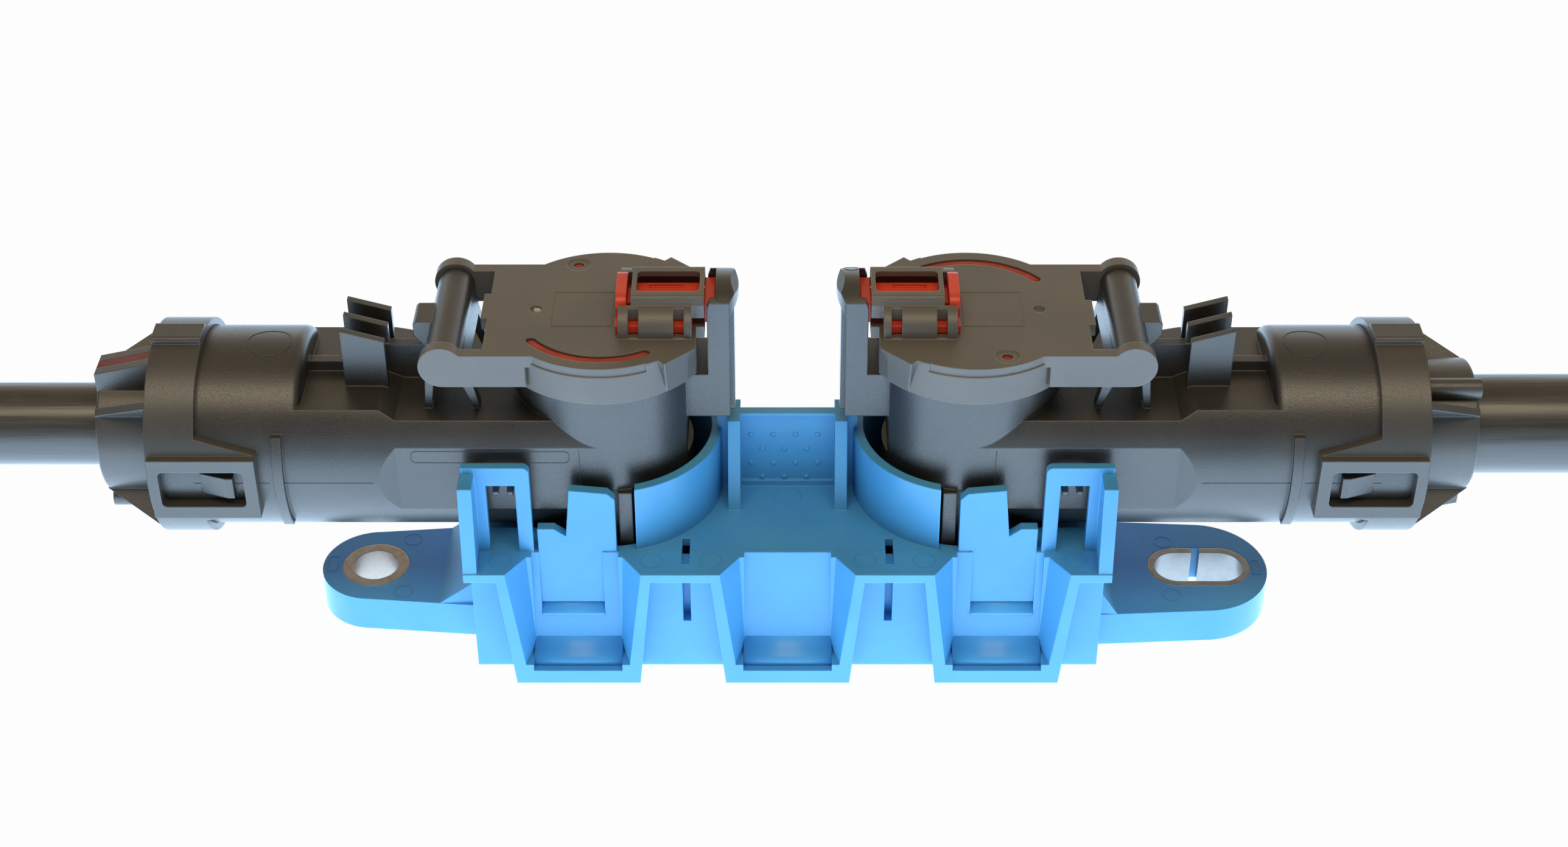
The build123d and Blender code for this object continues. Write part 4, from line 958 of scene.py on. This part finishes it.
class CONNECTOR_OT_scoop_ramps(bpy.types.Operator):
    """Curved ramps at the foot of the carrier's scoops and recesses."""

    bl_idname = "connector.make_scoop_ramps"
    bl_label = "Make the scoops' ramps"

    # Sections in Y and Z, in millimetres
    scoop = (
        (-17.95, 6.2), (-18.2, 6.2), (-18.6, 5.55), (-19.2, 5.0), (-20.0, 4.5), (-20.8, 4.05),
        (-21.3, 3.65), (-21.6, 3.2), (-21.7, 2.45), (-17.95, 2.45),
    )
    recess = ((-17.1, 11.9), (-17.5, 11.2), (-18.45, 10.35), (-18.45, 9.9), (-17.1, 9.9))
    # Name, count on each side, pitch, section and half width
    rows = (("scoop_ramps", 3, 32.4, scoop, 6.85), ("recess_ramps", 2, 66.1, recess, 4.86))
    slight = 0.05  # a face is shaded smooth where its normal leans by more than this both ways

    def execute(self, context):
        for name, count, pitch, profile, half_width in self.rows:
            values = {"Count": count, "Pitch": pitch * MM, "Material": finish("carrier blue")}
            ramps = grown(name, both_sides_tree, values, solid=prism(profile, half_width))
            for face in ramps.data.polygons:
                face.use_smooth = min(abs(face.normal.y), abs(face.normal.z)) > self.slight
            seated(ramps, ROOT)
        return {"FINISHED"}


class CONNECTOR_OT_carrier_marks(bpy.types.Operator):
    """Round ejector marks on the carrier's deck and ears, and lines on its deck."""

    bl_idname = "connector.make_carrier_marks"
    bl_label = "Make the carrier's mould marks"

    # All in millimetres
    ear_top = 6.1
    deck = 21.6
    ear_rings = ((-61.0, 5.1), (-61.0, -8.0), (61.1, 4.4), (60.9, -8.8))
    ear_ring_r = 1.4
    middle_ring = (0.0, -3.4)
    middle_ring_r = 2.2
    deck_rings_x = (-43.6, -20.7, -11.7, 11.7, 20.7, 43.6)
    deck_rings_y = (-19.4, 19.4)
    deck_ring_r = 1.7
    ear_frames = ((-73.9, -72.3, -2.9, 0.7), (74.6, 75.8, -3.8, -0.3))
    ear_frame_r = 0.3
    lip_y = 16.9
    lip_parts = ((7.4, 14.8), (16.2, 24.8))  # on both sides of the slits

    def execute(self, context):
        rings = [(centre, self.ear_top, self.ear_ring_r) for centre in self.ear_rings]
        rings.append((self.middle_ring, self.deck, self.middle_ring_r))
        deck_rings = product(self.deck_rings_x, self.deck_rings_y)
        rings += [(centre, self.deck, self.deck_ring_r) for centre in deck_rings]
        paths = [
            ([placed(x, y, z) for x, y in circle(centre, radius)], True)
            for centre, z, radius in rings
        ]
        for sides in self.ear_frames:
            frame_line = rounded_frame(*sides, self.ear_frame_r)
            paths.append(([placed(x, y, self.ear_top) for x, y in frame_line], True))
        for side_x, side_y, ends in product((-1, 1), (-1, 1), self.lip_parts):
            lip = [placed(side_x * x, side_y * self.lip_y, self.deck) for x in ends]
            paths.append((lip, False))
        raised_lines("carrier_ejector_marks", paths, "carrier blue", ROOT)
        return {"FINISHED"}


class CONNECTOR_OT_housing_lines(bpy.types.Operator):
    """Parting lines, empty label frames and ejector marks on the housings."""

    bl_idname = "connector.make_housing_lines"
    bl_label = "Make the housings' mould lines"

    # All in millimetres, in the connector's own frame
    tube_r = 15.3
    parting_parts = ((34.6, 48.5), (50.2, 61.6))
    flat_y = 14.2
    label = (5.1, 28.8, 36.2, 38.3, 0.8)
    upright_x = 3.6
    upright_z = (27.9, 38.4)
    tube_mark = ((50.9, 0.0), 3.4)
    post_mark = ((-18.0, 3.75), 1.1)
    crown_r = 9.63
    crown_top = 60.0

    def execute(self, context):
        axis_z = CABLE_Z / MM
        for side in SIGN:
            paths = [
                ([at(side, x, y, axis_z) for x in ends], False)
                for y, ends in product((-self.tube_r, self.tube_r), self.parting_parts)
            ]
            label = rounded_frame(*self.label)
            paths.append(([at(side, x, self.flat_y, z) for x, z in label], True))
            paths += [
                ([at(side, self.upright_x, y, z) for z in self.upright_z], False)
                for y in (-self.flat_y, self.flat_y)
            ]
            # Round mark on top of the tube, wrapped on its curve
            mark = []
            for x, y in circle(*self.tube_mark, count=40):
                angle = y / self.tube_r
                z = axis_z + self.tube_r * cos(angle)
                mark.append(at(side, x, self.tube_r * sin(angle), z))
            # Gate mark on the crowned head of the latch post
            gate = []
            for x, y in circle(*self.post_mark, count=28):
                drop = self.crown_r - (self.crown_r**2 - y**2) ** 0.5
                gate.append(at(side, x, y, self.crown_top - drop))
            paths += [(mark, True), (gate, True)]
            raised_lines(f"{side}_housing_lines", paths, "housing black", ROOT)
        return {"FINISHED"}


class CONNECTOR_OT_lid_lines(bpy.types.Operator):
    """The empty frame line on each lid, the slide's ridge, the seal in its slot, the gate."""

    bl_idname = "connector.make_lid_lines"
    bl_label = "Make the lids' small pieces"

    # All in millimetres, in the connector's own frame
    lid_top = 54.4
    frame_corners = ((-1.4, -4.6), (7.6, -4.6), (7.6, 4.6), (-1.4, 4.6))
    ridge_x = (-14.6, -11.9, -6.9, -5.0)
    ridge_y = (-2.1, -1.8, -0.8, 0.8, 1.8, 2.1)
    ridge_base, groove_floor, ridge_top = 56.8, 57.3, 57.75
    groove_cells = ((1, 1), (1, 3))
    slot_r = 13.3
    slot_start, slot_span = 38.5, 82.0  # in degrees
    slot_steps = 40
    # The seal's section in the slot, from the slot's middle and down from the lid's top
    seal_section = (
        (-0.66, -1.3), (0.66, -1.3), (0.66, -0.30), (0.264, -0.18), (-0.264, -0.18), (-0.66, -0.30)
    )
    gate_x = 10.0
    gate_size = (0.62, 0.52, 0.24)
    gate_sunk = 0.22

    def execute(self, context):
        for side in SIGN:
            border = [at(side, x, y, self.lid_top) for x, y in self.frame_corners]
            raised_lines(
                f"{side}_lid_lines",
                [(border, True)],
                "lid black",
                f"{side}_lid_body",
                thinned=0.7,
            )
            self.raise_slide(side)
            self.fill_arc(side)
        self.break_gate()
        return {"FINISHED"}

    def raise_slide(self, side):
        """The slide's ridge under the tower's window, with a groove along each side."""
        columns, rows = len(self.ridge_x) - 1, len(self.ridge_y) - 1
        shape = bmesh.new()
        corners = {}

        def corner(i, j, z):
            if (i, j, z) not in corners:
                spot = at(side, self.ridge_x[i], self.ridge_y[j], z)
                corners[i, j, z] = shape.verts.new(spot)
            return corners[i, j, z]

        def level(i, j):
            if not (0 <= i < columns and 0 <= j < rows):
                return self.ridge_base
            return self.groove_floor if (i, j) in self.groove_cells else self.ridge_top

        for i, j in product(range(columns), range(rows)):
            around = ((i, j), (i + 1, j), (i + 1, j + 1), (i, j + 1))
            high = level(i, j)
            for z in (self.ridge_base, high):
                shape.faces.new([corner(*spot, z) for spot in around])
            # A wall towards each lower neighbour
            beside = ((i, j - 1), (i + 1, j), (i, j + 1), (i - 1, j))
            for neighbour, first, second in zip(beside, around, around[1:] + around[:1]):
                low = level(*neighbour)
                if low < high:
                    wall = ((first, low), (second, low), (second, high), (first, high))
                    shape.faces.new([corner(*spot, z) for spot, z in wall])
        ridge = shaped(f"{side}_slide_ridge", shape, finish("slide red"), smooth=False)
        seated(ridge, f"{side}_slide_body")

    def fill_arc(self, side):
        """The seal's silicone, filling the lid's arc slot almost to its top."""
        shape = bmesh.new()
        rings = []
        for i in range(self.slot_steps + 1):
            angle = radians(self.slot_start + self.slot_span * i / self.slot_steps)
            spots = [
                at(side, (self.slot_r + out) * cos(angle), (self.slot_r + out) * sin(angle),
                   self.lid_top + up)
                for out, up in self.seal_section
            ]
            rings.append([shape.verts.new(spot) for spot in spots])
        for ring, following in zip(rings, rings[1:]):
            for k in range(len(ring)):
                after = (k + 1) % len(ring)
                shape.faces.new((ring[k], ring[after], following[after], following[k]))
        for ring in (rings[0], rings[-1]):
            shape.faces.new(ring)
        seal = shaped(f"{side}_seal_bulge", shape, finish("seal red"))
        seated(seal, f"{side}_lid_body")

    def break_gate(self):
        """The torn stub of the left lid's gate, pale and uneven, in its round pit."""
        width, depth, height = self.gate_size
        middle_z = self.lid_top - self.gate_sunk
        shape = bmesh.new()
        bmesh.ops.create_icosphere(shape, subdivisions=3, radius=1.0)
        for vertex in shape.verts:
            x, y, z = vertex.co
            # Two waves leave the break uneven
            rough = 1.0 + 0.16 * sin(5.0 * x + 2.0) * cos(4.0 * y) + 0.10 * sin(9.0 * y + 3.0 * x)
            along = self.gate_x + width * x * rough
            vertex.co = at("left", along, depth * y * rough, middle_z + height * z * rough)
        gate = shaped("left_lid_gate", shape, finish("torn plastic"))
        seated(gate, "left_lid_body")


class CONNECTOR_PT_panel(bpy.types.Panel):
    """Lists the connector's operators in the sidebar."""

    bl_idname = "CONNECTOR_PT_panel"
    bl_label = "Connector pair"
    bl_space_type = "VIEW_3D"
    bl_region_type = "UI"
    bl_category = "Connector"

    def draw(self, context):
        for step in STEPS:
            self.layout.operator(step.bl_idname)


STEPS = (
    CONNECTOR_OT_stage,
    CONNECTOR_OT_cables,
    CONNECTOR_OT_finishes,
    CONNECTOR_OT_web_pips,
    CONNECTOR_OT_scoop_ramps,
    CONNECTOR_OT_carrier_marks,
    CONNECTOR_OT_housing_lines,
    CONNECTOR_OT_lid_lines,
)
SETTINGS = {
    "connector_plastics": ConnectorPlastics,
    "connector_metals": ConnectorMetals,
    "connector_marks": ConnectorMarks,
    "connector_studio": ConnectorStudio,
}


def register():
    """Registers the settings, the operators and the panel."""
    for name, group in SETTINGS.items():
        bpy.utils.register_class(group)
        setattr(bpy.types.Scene, name, bpy.props.PointerProperty(type=group))
    for step in (*STEPS, CONNECTOR_PT_panel):
        bpy.utils.register_class(step)


def unregister():
    """Takes the panel, the operators and the settings out again."""
    for step in reversed((*STEPS, CONNECTOR_PT_panel)):
        bpy.utils.unregister_class(step)
    for name, group in SETTINGS.items():
        delattr(bpy.types.Scene, name)
        bpy.utils.unregister_class(group)


def main():
    """Runs every step in order."""
    register()
    bpy.ops.connector.make_stage()
    bpy.ops.connector.make_cables()
    bpy.ops.connector.finish_frame()
    bpy.ops.connector.make_web_pips()
    bpy.ops.connector.make_scoop_ramps()
    bpy.ops.connector.make_carrier_marks()
    bpy.ops.connector.make_housing_lines()
    bpy.ops.connector.make_lid_lines()


if __name__ == "__main__":
    main()
